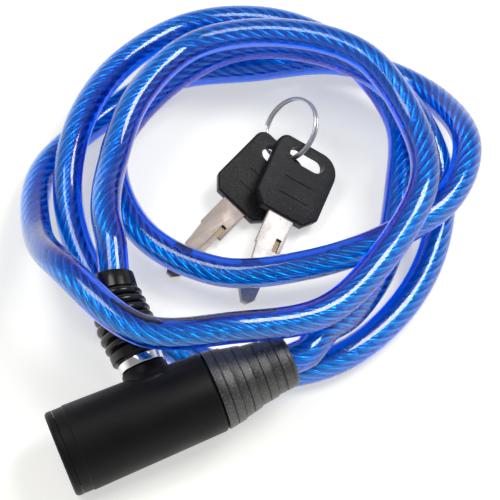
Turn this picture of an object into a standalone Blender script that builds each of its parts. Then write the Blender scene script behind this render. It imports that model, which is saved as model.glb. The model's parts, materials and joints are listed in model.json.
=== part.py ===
"""A bicycle cable lock: a keyed lock head, a bolt in a ribbed boot, and a looped cable between them.

Run with: blender --background --python part.py

Sizes are in millimetres and angles in degrees. The object lies on the plane z = 0.
The lock head has a frame of its own: its origin is on the head's axis at the seam of the end cap,
+X runs along the head towards the cable, and +Y runs out of the bolt's socket.
A key's frame has its origin in the middle of its ring hole, with +X towards the blade's tip.
"""

import math

import bmesh
import bpy
from mathutils import Euler, Matrix, Vector

MM = 0.001
SEAT_GAP = 0.3             # between pieces that touch on the real lock
CUT_OVERRUN = 1.0          # how far a cutter runs past the face that it opens

# Where things lie on the table
HEAD_PLACE = (-39.3, -60.3, 13.95)
HEAD_HEADING = 22.9
HEAD_TILT = 4.5            # the cable end is propped on a turn of the cable
BOLT_RISE = 13.0           # how far the bolt points above the level, about the head's axis

# Sleeve of the lock head
SOCKET_X = 31.6
SOCKET_TO_END = 17.4       # from the socket's axis to the sleeve's cable end
SLEEVE_KEY_RADIUS = 14.0
SLEEVE_CABLE_RADIUS = 13.0
SLEEVE_BAND_RADIUS = 13.75
SLEEVE_BAND_LENGTH = 3.1
SLEEVE_WALL = 2.2          # at the band, the thinnest place of the key end
SOCKET_TOP = 16.0          # from the head's axis to the collar's rim
COLLAR_RADIUS = 7.5
COLLAR_FLARE = 1.6
COLLAR_SUNK = 1.5          # how far the collar's flared foot reaches into the sleeve

# End cap
CAP_RADIUS = 13.8
CAP_THICKNESS = 2.55
CAP_ROUNDING = 1.3
CAP_SPIGOT_LENGTH = 2.3
CAP_SEAM = 0.15            # half the width of the seam to the sleeve

# Cylinder
SHELL_RADIUS = 7.85
SHELL_REAR = 18.0
SHELL_WALL = 2.05
PLUG_GROOVE_DEPTH = 1.3
PLUG_GROOVE_WIDTH = 1.5
CAM_STEP = 0.3             # how much less than the plug's radius the cam has
CAM_THICKNESS = 1.5
KEYWAY_HEIGHT = 7.3
KEYWAY_WIDTH = 2.6
KEYWAY_DEPTH = 18.4
WARD_WIDTH = 0.9           # of the rib that fills the key's milled ledge
WARD_HEIGHT = 2.2
WAFERS = 5
WAFER_PITCH = 2.7
WAFER_FIRST_X = 3.0
WAFER_THICKNESS = 1.2
WAFER_WIDTH = 4.7
WAFER_RAIL = 0.75          # side wall of a wafer, beside its window
CLIP_STEP = 0.65           # how much less than the shell's radius the clip has
CLIP_THICKNESS = 0.9
CLIP_MOUTH = 4.4
CHANNEL_DEPTH = 1.3        # of the shell's wafer channels
PIN_RADIUS = 1.0
PIN_X = 16.6
DRIVE_ECCENTRICITY = 3.5
DRIVE_PIN_RADIUS = 1.25
DRIVE_PIN_LENGTH = 4.0
DRIVE_START = 135.0        # the drive pin's place round the axis when locked, from +Y

# Bolt and latch
BOLT_RADIUS = 4.25
BOLT_TIP_Y = -6.9
BOLT_TIP_CHAMFER = 1.5
BOLT_PLAY = 3.4            # free travel in the groove before the latch would hold the bolt
GROOVE_DEPTH = 0.85
LATCH_BITE = 0.6           # how far the nose stands inside the bolt's outline
FLANGE_RADIUS = 7.4
FLANGE_THICKNESS = 2.0
CRIMP_RADIUS = 6.1
CRIMP_LENGTH = 10.0
BOLT_CLEARANCE = 0.3
LATCH_WIDTH = 9.2
LATCH_THICKNESS = 3.7
NOSE_THICKNESS = 2.2
NOSE_BEVEL = 0.55
LATCH_ARM_HEIGHT = 1.95
LATCH_BLOCK_TOP = 5.4
LATCH_BLOCK_BOTTOM = -2.2
LATCH_SLOT_PLAY = 0.35

# Core
CHAMBER_TOP = 8.0
BOLT_BORE_BOTTOM = -9.7
EJECTOR_COIL = 2.2         # radius of the ejector spring's coil

# Cable and what holds its ends
CABLE_RADIUS = 5.0
ROPE_RADIUS = 3.4
CABLE_SIDES_PER_QUARTER = 4
CABLE_SPACING = 19.2       # between the points of the tube
CABLE_END_SPACING = 9.0    # near its two ends
CABLE_END_POINTS = 3
ANCHOR_RADIUS = 5.9
ANCHOR_FLANGE_RADIUS = 7.2
ANCHOR_FLANGE_THICKNESS = 2.2
SOCKET_TO_ANCHOR = 6.8
ANCHOR_LENGTH = 13.6

# Strain relief
RELIEF_LENGTH = 25.9
RELIEF_STEPS = 4
RELIEF_STEP_RADII = (12.9, 11.6, 10.0, 8.9)
RELIEF_END_RADIUS = 8.1
RELIEF_END_LENGTH = 1.6
RELIEF_SPIGOT = 3.2
RELIEF_STEP_HEIGHT = 0.4
RELIEF_GROOVE = 0.45

# Boot
BOOT_BASE_RADIUS = 8.7
BOOT_BASE_LENGTH = 4.4
BOOT_RIB_RADII = (9.2, 9.5, 9.5, 9.2, 8.7, 8.0)
BOOT_RIB_PITCH = 3.15
BOOT_RIB_DEPTH = 1.2
BOOT_NECK_RADIUS = 7.0
BOOT_MOUTH_RADIUS = 6.3
BOOT_NECK_LENGTH = 5.9
BOOT_THROAT = 2.0          # from the crimp's end to where the bore narrows to the cable
BOOT_BEND = 3.0            # sideways shift of the boot's mouth, all of it past the crimp

# Keys
BOW_WIDTH = 24.0
BOW_THICKNESS = 4.5
BOW_ABOVE_HOLE = 5.2
BOW_BELOW_HOLE = 22.6
BOW_CHAMFER = 5.0
BOW_EDGE = 0.5
HOLE_LENGTH = 13.5
HOLE_WIDTH = 6.0
BOW_SMALL_CORNER = 3.5
BOW_LARGE_CORNER = 7.5
BOW_LINES = (9.0, 15.1)    # two thin grooves across the bow
BOW_LINE_WIDTH = 0.4
BOW_LINE_DEPTH = 0.3
BOW_LINE_START = -5.0
BOW_LINE_END = 6.5
TANG_LENGTH = 12.2
BLADE_LENGTH = 37.0
BLADE_THICKNESS = 2.2
BLADE_HALF_WIDTH = 3.45
SHOULDER_HALF_WIDTH = 4.75
SHOULDER_LENGTH = 12.0
BITTING_STARTS = (9.0, 13.4, 17.8)    # of the notches, from the shoulder
BITTING_LENGTH = 2.8
BITTING_DEPTH = 0.7
NECK_LENGTH = 6.5          # of the taper from the shoulder to the narrow blade
NECK_STEP = 0.8
LEDGE_START = 7.9          # from the bow to the end of the milled ledge
LEDGE_INNER = 1.55
LEDGE_DEPTH = 1.1
TIP_CHAMFER = 2.6
KEY_1_PLACE = (36.0, 50.8, 11.2)
KEY_1_TURN = (-25.4, 8.4, -112.7)     # roll, pitch and heading
KEY_2_PLACE = (26.5, 52.6, 8.0)
KEY_2_TURN = (-20.0, 5.3, -131.5)

# Split ring
RING_RADIUS = 11.2
RING_WIRE_RADIUS = 0.42
RING_LAYER = 0.64          # half the distance between its two turns
RING_GAP_ANGLE = 25.0      # each wire end stands this far from the jog's middle
RING_ENDS_ANGLE = -45.0    # where the jog is, from the ring's +X
RING_PLACE = (31.1, 62.7, 13.8)
RING_TURN = (0.0, 41.1, -166.4)

# The cable's route, from the strain relief to the boot. Both ends are worked out from the head.
CABLE_ROUTE = [
    (41, -20, 19.5), (49, -12, 15.5), (62, 13, 6), (68, 41, 7), (69, 71, 8), (52, 93, 16.5),
    (27, 109, 15.5), (-3, 111, 12), (-28, 92, 14), (-42, 61, 18), (-44, 30, 14.5), (-33, 2, 10),
    (-14, -15, 6), (15, -28, 5), (44, -24, 6), (67, -4, 5.5), (80, 23, 6.5), (81, 50, 13.5),
    (65, 75, 23), (40, 90, 23.5), (11, 94, 19), (-13, 81, 15), (-30, 54, 11.5), (-20, 23, 11),
    (6, 6, 12.5), (35, 6, 16), (64, 15, 20), (84, 31, 20.5), (91, 54, 19), (78, 86, 6),
    (50, 99, 5.5), (18, 95, 7), (-11, 91, 6.5), (-34, 75, 5.5), (-54, 49, 8.5), (-53, 16, 20.5),
    (-40, -10, 38.5), (-16, -31, 38.5), (12, -29, 36.5), (40, -20, 30.5), (58, -1, 28.5), (74, 28, 32),
    (72, 53, 30), (56, 78, 35), (29, 89, 34), (-2, 89, 27.5), (-21, 67, 27.5), (-29, 40, 25.5),
    (-30, 19, 29.5),
]


# Finishes

def finish(name, colour, roughness, metallic=0.0):
    material = bpy.data.materials.new(name)
    material.use_nodes = True
    shader = material.node_tree.nodes["Principled BSDF"]
    shader.inputs["Base Color"].default_value = (*colour, 1.0)
    shader.inputs["Roughness"].default_value = roughness
    shader.inputs["Metallic"].default_value = metallic
    material.diffuse_color = (*colour, 1.0)
    return material


def make_finishes():
    return {
        "black_plastic": finish("black_plastic", (0.028, 0.028, 0.030), 0.45),
        "bow_plastic": finish("bow_plastic", (0.024, 0.024, 0.026), 0.55),
        "black_rubber": finish("black_rubber", (0.022, 0.021, 0.020), 0.62),
        "blue_jacket": finish("blue_jacket", (0.010, 0.130, 0.700), 0.18),
        "chrome": finish("chrome", (0.780, 0.780, 0.790), 0.10, 1.0),
        "nickel": finish("nickel", (0.620, 0.590, 0.560), 0.32, 1.0),
        "brass": finish("brass", (0.600, 0.430, 0.180), 0.34, 1.0),
        "steel": finish("steel", (0.500, 0.510, 0.520), 0.38, 1.0),
        "zinc": finish("zinc", (0.360, 0.370, 0.380), 0.50, 1.0),
    }


# Shapes

def add_object(name, mesh, material=None, parent=None):
    obj = bpy.data.objects.new(name, mesh)
    bpy.context.scene.collection.objects.link(obj)
    if material is not None:
        mesh.materials.append(material)
    if parent is not None:
        obj.parent = parent
    return obj


def mesh_from(name, bm):
    bmesh.ops.recalc_face_normals(bm, faces=bm.faces)
    mesh = bpy.data.meshes.new(name)
    bm.to_mesh(mesh)
    bm.free()
    return mesh


def shade_round(mesh, sharp_angle=35.0):
    mesh.shade_smooth()
    mesh.set_sharp_from_angle(angle=math.radians(sharp_angle))


def arc(along, radius, size, start, end, steps=4):
    """Points of a round edge in an outline, about (along, radius)."""
    turn = [math.radians(start + (end - start) * i / steps) for i in range(steps + 1)]
    return [(along + size * math.cos(a), radius + size * math.sin(a)) for a in turn]


def turned_mesh(name, outline, axis="X", centre=(0.0, 0.0, 0.0), segments=48):
    """A closed outline of (along, radius) points, spun round an axis through the centre."""
    bm = bmesh.new()
    along_index = "XYZ".index(axis)
    out_index = (along_index + 1) % 3
    corners = []
    for along, radius in outline:
        point = Vector(centre) * MM
        point[along_index] += along * MM
        point[out_index] += radius * MM
        corners.append(bm.verts.new(point))
    edges = [bm.edges.new((corners[i - 1], corners[i])) for i in range(len(corners))
             if outline[i - 1][1] > 0.0 or outline[i][1] > 0.0]
    direction = Vector((0.0, 0.0, 0.0))
    direction[along_index] = 1.0
    bmesh.ops.spin(bm, geom=edges, cent=Vector(centre) * MM, axis=direction,
                   angle=2.0 * math.pi, steps=segments, use_merge=True)
    bmesh.ops.remove_doubles(bm, verts=bm.verts, dist=1e-7)
    mesh = mesh_from(name, bm)
    shade_round(mesh)
    return mesh


def block_mesh(name, low, high):
    bm = bmesh.new()
    size = [(h - l) * MM for l, h in zip(low, high)]
    middle = [(h + l) * MM / 2.0 for l, h in zip(low, high)]
    bmesh.ops.create_cube(bm, size=1.0, matrix=Matrix.Translation(middle) @ Matrix.Diagonal((*size, 1.0)))
    return mesh_from(name, bm)


def extruded_mesh(name, outline, low, high, axis="Z"):
    """A flat outline, pushed along an axis from low to high. The outline's pairs are the other two axes."""
    bm = bmesh.new()
    index = "XYZ".index(axis)
    first, second = [(1, 2), (2, 0), (0, 1)][index]
    corners = []
    for a, b in outline:
        point = Vector((0.0, 0.0, 0.0))
        point[index] = low * MM
        point[first] = a * MM
        point[second] = b * MM
        corners.append(bm.verts.new(point))
    face = bm.faces.new(corners)
    raised = bmesh.ops.extrude_face_region(bm, geom=[face])
    lift = Vector((0.0, 0.0, 0.0))
    lift[index] = (high - low) * MM
    tops = [item for item in raised["geom"] if isinstance(item, bmesh.types.BMVert)]
    bmesh.ops.translate(bm, verts=tops, vec=lift)
    return mesh_from(name, bm)


def turned(name, outline, material, parent, axis="X", centre=(0.0, 0.0, 0.0), segments=48):
    return add_object(name, turned_mesh(name, outline, axis, centre, segments), material, parent)


def rod_outline(start, end, radius):
    return [(start, 0.0), (start, radius), (end, radius), (end, 0.0)]


def combine(target, tool_mesh, operation):
    """Cuts or joins a helper shape, which stays out of the build."""
    tool = add_object(f"{target.name}.{operation.lower()}", tool_mesh, parent=target.parent)
    tool.location = target.location
    tool.hide_render = True
    tool.display_type = "WIRE"
    modifier = target.modifiers.new(operation.capitalize(), "BOOLEAN")
    modifier.operation = operation
    modifier.object = tool
    return tool


def cut(target, tool_mesh):
    combine(target, tool_mesh, "DIFFERENCE")


def join(target, tool_mesh):
    combine(target, tool_mesh, "UNION")


def add_frame(name, place, turn):
    frame = bpy.data.objects.new(name, None)
    frame.empty_display_size = 0.01
    frame.location = Vector(place) * MM
    frame.rotation_euler = Euler([math.radians(a) for a in turn], "XYZ")
    bpy.context.scene.collection.objects.link(frame)
    return frame


# Lock head

SLEEVE_LENGTH = SOCKET_X + SOCKET_TO_END
CORE_RADIUS = SLEEVE_BAND_RADIUS - SLEEVE_WALL - SEAT_GAP
SLEEVE_BORE = CORE_RADIUS + SEAT_GAP
CORE_FRONT = CAP_SPIGOT_LENGTH + SEAT_GAP
SHELL_BORE = SHELL_RADIUS + SEAT_GAP
PLUG_RADIUS = SHELL_RADIUS - SHELL_WALL - SEAT_GAP
PLUG_BORE = PLUG_RADIUS + SEAT_GAP
PLUG_GROOVE_RADIUS = PLUG_RADIUS - PLUG_GROOVE_DEPTH
CAM_RADIUS = PLUG_RADIUS - CAM_STEP
CLIP_RADIUS = SHELL_RADIUS - CLIP_STEP
WAFER_HEIGHT = 2.0 * math.sqrt((PLUG_RADIUS - SEAT_GAP / 2.0) ** 2 - (WAFER_WIDTH / 2.0) ** 2)
PLUG_FACE = -CAP_THICKNESS + 0.8
SHELL_FACE = PLUG_FACE - 0.1
GROOVE_FRONT = SHELL_REAR + 0.2
CAM_FRONT = GROOVE_FRONT + PLUG_GROOVE_WIDTH
CAM_REAR = CAM_FRONT + CAM_THICKNESS
LATCH_FRONT = CAM_REAR + 1.2
LATCH_REAR = LATCH_FRONT + LATCH_THICKNESS
DRIVE_Z = DRIVE_ECCENTRICITY * math.sin(math.radians(DRIVE_START))
DRIVE_Y = DRIVE_ECCENTRICITY * math.cos(math.radians(DRIVE_START))
NOSE_LOW_Y = -NOSE_THICKNESS / 2.0
NOSE_HIGH_Y = NOSE_THICKNESS / 2.0
NOSE_TOP = -(BOLT_RADIUS - LATCH_BITE)
NOSE_REACH = SOCKET_X + BOLT_RADIUS + 0.2
BOLT_BORE = BOLT_RADIUS + BOLT_CLEARANCE
FLANGE_FRONT = SOCKET_TOP + SEAT_GAP
FLANGE_REAR = FLANGE_FRONT + FLANGE_THICKNESS
RELIEF_FRONT = SLEEVE_LENGTH + SEAT_GAP
RELIEF_REAR = RELIEF_FRONT + RELIEF_LENGTH
CORE_REAR = RELIEF_FRONT - RELIEF_SPIGOT - 2.0 * SEAT_GAP
ANCHOR_FRONT = SOCKET_X + SOCKET_TO_ANCHOR
ANCHOR_REAR = ANCHOR_FRONT + ANCHOR_LENGTH
ANCHOR_BORE = ROPE_RADIUS + SEAT_GAP
BOOT_BASE_Y = FLANGE_REAR + SEAT_GAP
BOOT_LENGTH = BOOT_BASE_LENGTH + BOOT_RIB_PITCH * len(BOOT_RIB_RADII) + BOOT_NECK_LENGTH
BOOT_MOUTH_Y = BOOT_BASE_Y + BOOT_LENGTH
CRIMP_END = FLANGE_REAR + CRIMP_LENGTH


def build_sleeve(head, material):
    chamfer = 0.3
    band_end = CAP_SEAM + SLEEVE_BAND_LENGTH
    outline = [(CAP_SEAM, 0.0), (CAP_SEAM, SLEEVE_BAND_RADIUS - chamfer),
               (CAP_SEAM + chamfer, SLEEVE_BAND_RADIUS), (band_end, SLEEVE_BAND_RADIUS),
               (band_end + chamfer, SLEEVE_KEY_RADIUS), (SLEEVE_LENGTH - chamfer, SLEEVE_CABLE_RADIUS),
               (SLEEVE_LENGTH, SLEEVE_CABLE_RADIUS - chamfer), (SLEEVE_LENGTH, 0.0)]
    sleeve = turned("housing_sleeve", outline, material, head, segments=56)
    flare_foot = SLEEVE_CABLE_RADIUS - COLLAR_SUNK
    collar = [(0.0, 0.0), (0.0, COLLAR_RADIUS + COLLAR_FLARE), (flare_foot, COLLAR_RADIUS + COLLAR_FLARE)]
    collar += [(SOCKET_TOP - 1.4, COLLAR_RADIUS + 0.1), (SOCKET_TOP - 0.4, COLLAR_RADIUS),
               (SOCKET_TOP, COLLAR_RADIUS - 0.4), (SOCKET_TOP, 0.0)]
    socket = (SOCKET_X, 0.0, 0.0)
    join(sleeve, turned_mesh("collar", collar, "Y", socket, 40))
    bore = rod_outline(CAP_SEAM - CUT_OVERRUN, SLEEVE_LENGTH + CUT_OVERRUN, SLEEVE_BORE)
    cut(sleeve, turned_mesh("sleeve_bore", bore, segments=48))
    hole = rod_outline(SLEEVE_BORE / 2.0, SOCKET_TOP + CUT_OVERRUN, BOLT_BORE)
    cut(sleeve, turned_mesh("socket_bore", hole, "Y", socket, 32))
    return sleeve


def build_end_cap(head, material):
    face = -CAP_THICKNESS
    rim = CAP_RADIUS - CAP_ROUNDING
    outline = [(face, SHELL_BORE)]
    outline += arc(face + CAP_ROUNDING, rim, CAP_ROUNDING, 180.0, 90.0)
    outline += [(-CAP_SEAM, CAP_RADIUS), (-CAP_SEAM, CORE_RADIUS), (CAP_SPIGOT_LENGTH, CORE_RADIUS),
                (CAP_SPIGOT_LENGTH, SHELL_BORE)]
    return turned("end_cap", outline, material, head, segments=56)


def build_core(head, material):
    """The die casting: every bore of the mechanism, with the latch chamber open at its underside."""
    core = turned("core_body", rod_outline(CORE_FRONT, CORE_REAR, CORE_RADIUS), material, head)
    chamber_front = CAM_REAR + 0.6
    chamber_rear = LATCH_REAR + SEAT_GAP
    cut(core, turned_mesh("cylinder_bore", rod_outline(0.0, chamber_front + 0.2, SHELL_BORE)))
    half_width = LATCH_WIDTH / 2.0 + SEAT_GAP
    under = -CORE_RADIUS - CUT_OVERRUN
    cut(core, block_mesh("latch_chamber", (chamber_front, -half_width, under),
                         (chamber_rear, half_width, CHAMBER_TOP)))
    socket = (SOCKET_X, 0.0, 0.0)
    bolt_bore = rod_outline(BOLT_BORE_BOTTOM, CORE_RADIUS + CUT_OVERRUN, BOLT_BORE)
    cut(core, turned_mesh("bolt_bore", bolt_bore, "Y", socket, 32))
    pocket_front = ANCHOR_FRONT - 0.9
    cut(core, block_mesh("arm_channel", (chamber_rear - 0.5, NOSE_LOW_Y - SEAT_GAP, under),
                         (pocket_front + 0.5, NOSE_HIGH_Y + SEAT_GAP, NOSE_TOP + 0.4)))
    pocket_rear = ANCHOR_FRONT + ANCHOR_FLANGE_THICKNESS + SEAT_GAP
    pocket = rod_outline(pocket_front, pocket_rear, ANCHOR_FLANGE_RADIUS + SEAT_GAP)
    cut(core, turned_mesh("anchor_pocket", pocket))
    seat = rod_outline(pocket_rear - 0.5, CORE_REAR + CUT_OVERRUN, ANCHOR_RADIUS + SEAT_GAP)
    cut(core, turned_mesh("anchor_bore", seat))
    pin_hole = rod_outline(SHELL_RADIUS - 1.0, CORE_RADIUS + CUT_OVERRUN, PIN_RADIUS + SEAT_GAP)
    cut(core, turned_mesh("pin_hole", pin_hole, "Z", (PIN_X, 0.0, 0.0), 16))
    return core


def build_cylinder_shell(head, material):
    outline = [(SHELL_FACE, PLUG_BORE), (SHELL_FACE, SHELL_RADIUS), (SHELL_REAR, SHELL_RADIUS),
               (SHELL_REAR, PLUG_BORE)]
    shell = turned("cylinder_shell", outline, material, head)
    channel_end = WAFER_FIRST_X + WAFER_PITCH * (WAFERS - 1) + WAFER_THICKNESS
    channel_start = WAFER_FIRST_X - WAFER_THICKNESS
    half_width = WAFER_WIDTH / 2.0 + SEAT_GAP
    deep = PLUG_BORE + CHANNEL_DEPTH
    cut(shell, block_mesh("channels", (channel_start, -half_width, -deep), (channel_end, half_width, deep)))
    pin_hole = rod_outline(PLUG_BORE + 0.7, SHELL_RADIUS + CUT_OVERRUN, PIN_RADIUS + SEAT_GAP)
    cut(shell, turned_mesh("shell_pin_hole", pin_hole, "Z", (PIN_X, 0.0, 0.0), 16))
    return shell


def build_cylinder_pin(head, material):
    outline = rod_outline(PLUG_BORE + 1.0, CORE_RADIUS - 0.1, PIN_RADIUS)
    return turned("cylinder_pin", outline, material, head, "Z", (PIN_X, 0.0, 0.0), 16)


def build_plug(head, material):
    """The turning plug: keyway with its ward, a slot for each wafer, clip groove, cam and drive pin."""
    chamfer = 0.4
    outline = [(PLUG_FACE, 0.0), (PLUG_FACE, PLUG_RADIUS - chamfer), (PLUG_FACE + chamfer, PLUG_RADIUS),
               (GROOVE_FRONT, PLUG_RADIUS), (GROOVE_FRONT, PLUG_GROOVE_RADIUS),
               (CAM_FRONT, PLUG_GROOVE_RADIUS), (CAM_FRONT, CAM_RADIUS), (CAM_REAR, CAM_RADIUS),
               (CAM_REAR, 0.0)]
    plug = turned("cylinder_plug", outline, material, head)
    drive_pin = rod_outline(CAM_REAR - 0.5, CAM_REAR + DRIVE_PIN_LENGTH, DRIVE_PIN_RADIUS)
    join(plug, turned_mesh("drive_pin", drive_pin, "X", (0.0, DRIVE_Y, DRIVE_Z), 20))
    half_height = KEYWAY_HEIGHT / 2.0
    half_width = KEYWAY_WIDTH / 2.0
    mouth = PLUG_FACE - CUT_OVERRUN
    bottom = PLUG_FACE + KEYWAY_DEPTH
    cut(plug, extruded_mesh("keyway", [
        (-half_width, -half_height), (half_width, -half_height), (half_width, half_height - WARD_HEIGHT),
        (half_width - WARD_WIDTH, half_height - WARD_HEIGHT), (half_width - WARD_WIDTH, half_height),
        (-half_width, half_height)], mouth, bottom, "X"))
    slot_width = WAFER_WIDTH / 2.0 + SEAT_GAP
    for i in range(WAFERS):
        middle = WAFER_FIRST_X + WAFER_PITCH * i
        reach = WAFER_THICKNESS / 2.0 + SEAT_GAP
        tall = PLUG_RADIUS + CUT_OVERRUN
        cut(plug, block_mesh(f"wafer_slot_{i + 1}", (middle - reach, -slot_width, -tall),
                             (middle + reach, slot_width, tall)))
    return plug


def build_wafers(head, material):
    """The wafers stand where a key holds them, inside the plug's outline."""
    half = WAFER_THICKNESS / 2.0
    window_height = KEYWAY_HEIGHT / 2.0 + 0.2
    window_width = WAFER_WIDTH / 2.0 - WAFER_RAIL
    for i in range(WAFERS):
        middle = WAFER_FIRST_X + WAFER_PITCH * i
        mesh = block_mesh(f"wafer_{i + 1}", (middle - half, -WAFER_WIDTH / 2.0, -WAFER_HEIGHT / 2.0),
                          (middle + half, WAFER_WIDTH / 2.0, WAFER_HEIGHT / 2.0))
        wafer = add_object(f"wafer_{i + 1}", mesh, material, head)
        through = half + CUT_OVERRUN
        cut(wafer, block_mesh(f"window_{i + 1}", (middle - through, -window_width, -window_height),
                              (middle + through, window_width, window_height)))


def build_plug_clip(head, material):
    front = GROOVE_FRONT + (PLUG_GROOVE_WIDTH - CLIP_THICKNESS) / 2.0
    rear = front + CLIP_THICKNESS
    inner = PLUG_GROOVE_RADIUS + SEAT_GAP
    clip = turned("plug_clip", [(front, inner), (front, CLIP_RADIUS), (rear, CLIP_RADIUS), (rear, inner)],
                  material, head, segments=32)
    cut(clip, block_mesh("clip_mouth", (front - CUT_OVERRUN, -CLIP_MOUTH / 2.0, 0.0),
                         (rear + CUT_OVERRUN, CLIP_MOUTH / 2.0, CLIP_RADIUS + CUT_OVERRUN)))
    return clip


def build_latch(head, material):
    """A slotted block on the drive pin, with an arm whose bevelled nose lies in the bolt's groove."""
    half_width = LATCH_WIDTH / 2.0
    latch = add_object("latch", block_mesh("latch", (LATCH_FRONT, -half_width, LATCH_BLOCK_BOTTOM),
                                           (LATCH_REAR, half_width, LATCH_BLOCK_TOP)), material, head)
    reach = DRIVE_PIN_RADIUS + LATCH_SLOT_PLAY
    slot_inner = DRIVE_Y + DRIVE_PIN_RADIUS + LATCH_SLOT_PLAY
    cut(latch, block_mesh("pin_slot", (LATCH_FRONT - CUT_OVERRUN, -LATCH_WIDTH, DRIVE_Z - reach),
                          (LATCH_REAR + CUT_OVERRUN, slot_inner, DRIVE_Z + reach)))
    arm_bottom = NOSE_TOP - LATCH_ARM_HEIGHT
    join(latch, block_mesh("web", (LATCH_FRONT, NOSE_LOW_Y, arm_bottom),
                           (LATCH_REAR, NOSE_HIGH_Y, LATCH_BLOCK_BOTTOM + 0.5)))
    nose = [(NOSE_LOW_Y, arm_bottom), (NOSE_HIGH_Y, arm_bottom), (NOSE_HIGH_Y, NOSE_TOP - NOSE_BEVEL),
            (NOSE_HIGH_Y - NOSE_BEVEL, NOSE_TOP), (NOSE_LOW_Y, NOSE_TOP)]
    join(latch, extruded_mesh("arm", nose, LATCH_REAR - 1.0, NOSE_REACH, "X"))
    return latch


def spring_points(radius, start, end, turns, dead_turns=0.75, points_per_turn=10):
    """A compression spring along +Z with closed ends, as points in millimetres."""
    total = turns + 2.0 * dead_turns
    count = int(round(total * points_per_turn))
    closed_rise = 0.09 * (end - start)
    points = []
    for i in range(count + 1):
        turn = total * i / count
        if turn < dead_turns:
            height = start + closed_rise * turn / dead_turns
        elif turn > total - dead_turns:
            height = end - closed_rise * (total - turn) / dead_turns
        else:
            share = (turn - dead_turns) / turns
            height = start + closed_rise + share * (end - start - 2.0 * closed_rise)
        angle = 2.0 * math.pi * turn
        points.append((radius * math.cos(angle), radius * math.sin(angle), height))
    return points


def least_gap(points, diameter, skip):
    """The least distance between stretches of a tube's middle line, less its diameter."""
    least = float("inf")
    for i in range(len(points) - 1):
        for j in range(i + skip, len(points) - 1):
            least = min(least, stretch_distance(points[i], points[i + 1], points[j], points[j + 1]))
    return least - diameter


def stretch_distance(a, b, c, d):
    """The distance between two straight stretches, a to b and c to d."""
    a, b, c, d = (Vector(p) for p in (a, b, c, d))
    u, v, w = b - a, d - c, a - c
    uu, uv, vv, uw, vw = u.dot(u), u.dot(v), v.dot(v), u.dot(w), v.dot(w)
    spread = uu * vv - uv * uv
    s = 0.0 if spread < 1e-12 else min(1.0, max(0.0, (uv * vw - vv * uw) / spread))
    t = min(1.0, max(0.0, (uv * s + vw) / vv))
    s = min(1.0, max(0.0, (uv * t - uw) / uu))
    return (a + u * s - c - v * t).length


def add_tube(name, points, radius, resolution, material, parent=None):
    """A round tube with flat ends along points in millimetres."""
    curve = bpy.data.curves.new(name, "CURVE")
    curve.dimensions = "3D"
    curve.bevel_depth = radius * MM
    curve.bevel_resolution = resolution
    curve.use_fill_caps = True
    spline = curve.splines.new("POLY")
    spline.points.add(len(points) - 1)
    for item, point in zip(spline.points, points):
        item.co = (*(Vector(point) * MM), 1.0)
    return add_object(name, curve, material, parent)


def build_springs(head, material):
    wire = 0.24
    coil = 1.35
    middle = ((LATCH_FRONT + LATCH_REAR) / 2.0, LATCH_WIDTH / 2.0 - coil - wire, 0.0)
    seat = -math.sqrt(SLEEVE_BORE ** 2 - (middle[1] + coil + wire) ** 2)
    room = SEAT_GAP + wire
    latch_spring = spring_points(coil, seat + room, LATCH_BLOCK_BOTTOM - room, 6.0)
    placed = [(middle[0] + x, middle[1] + y, z) for x, y, z in latch_spring]
    add_tube("latch_spring", placed, wire, 1, material, head)
    print(f"latch_spring least gap to itself: {least_gap(placed, 2.0 * wire, 6):.2f} mm")
    ejector = spring_points(EJECTOR_COIL, BOLT_BORE_BOTTOM + room, BOLT_TIP_Y - room, 1.0, 0.25)
    placed = [(SOCKET_X + x, z, -y) for x, y, z in ejector]
    add_tube("ejector_spring", placed, wire, 1, material, head)
    print(f"ejector_spring least gap to itself: {least_gap(placed, 2.0 * wire, 6):.2f} mm")


def build_anchor(head, material):
    shoulder = ANCHOR_FRONT + ANCHOR_FLANGE_THICKNESS
    outline = [(ANCHOR_FRONT, ANCHOR_BORE), (ANCHOR_FRONT, ANCHOR_FLANGE_RADIUS),
               (shoulder, ANCHOR_FLANGE_RADIUS), (shoulder, ANCHOR_RADIUS), (ANCHOR_REAR, ANCHOR_RADIUS),
               (ANCHOR_REAR, ANCHOR_BORE)]
    return turned("cable_anchor", outline, material, head, segments=32)


def build_cable_head_end(head, material):
    """The stripped rope in the anchor and the jacketed stretch in the strain relief."""
    strip = ANCHOR_REAR + SEAT_GAP
    outline = [(ANCHOR_FRONT, 0.0), (ANCHOR_FRONT, ROPE_RADIUS), (strip, ROPE_RADIUS), (strip, CABLE_RADIUS),
               (RELIEF_REAR, CABLE_RADIUS), (RELIEF_REAR, 0.0)]
    return turned("cable_head_end", outline, material, head, segments=24)


def relief_outline():
    """The stepped cone: each step has a round groove at its middle and drops to the next."""
    pitch = (RELIEF_LENGTH - RELIEF_END_LENGTH) / RELIEF_STEPS
    last = RELIEF_END_RADIUS + RELIEF_STEP_HEIGHT
    radii = list(RELIEF_STEP_RADII) + [last - RELIEF_STEP_HEIGHT]
    outline = []
    for i in range(RELIEF_STEPS):
        x = RELIEF_FRONT + pitch * i
        start, end = radii[i], radii[i + 1] + RELIEF_STEP_HEIGHT
        middle = (start + end) / 2.0
        outline += [(x, start), (x + pitch * 0.42, middle + 0.1), (x + pitch * 0.5, middle - RELIEF_GROOVE),
                    (x + pitch * 0.58, middle), (x + pitch - 0.05, end)]
    return outline


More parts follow.
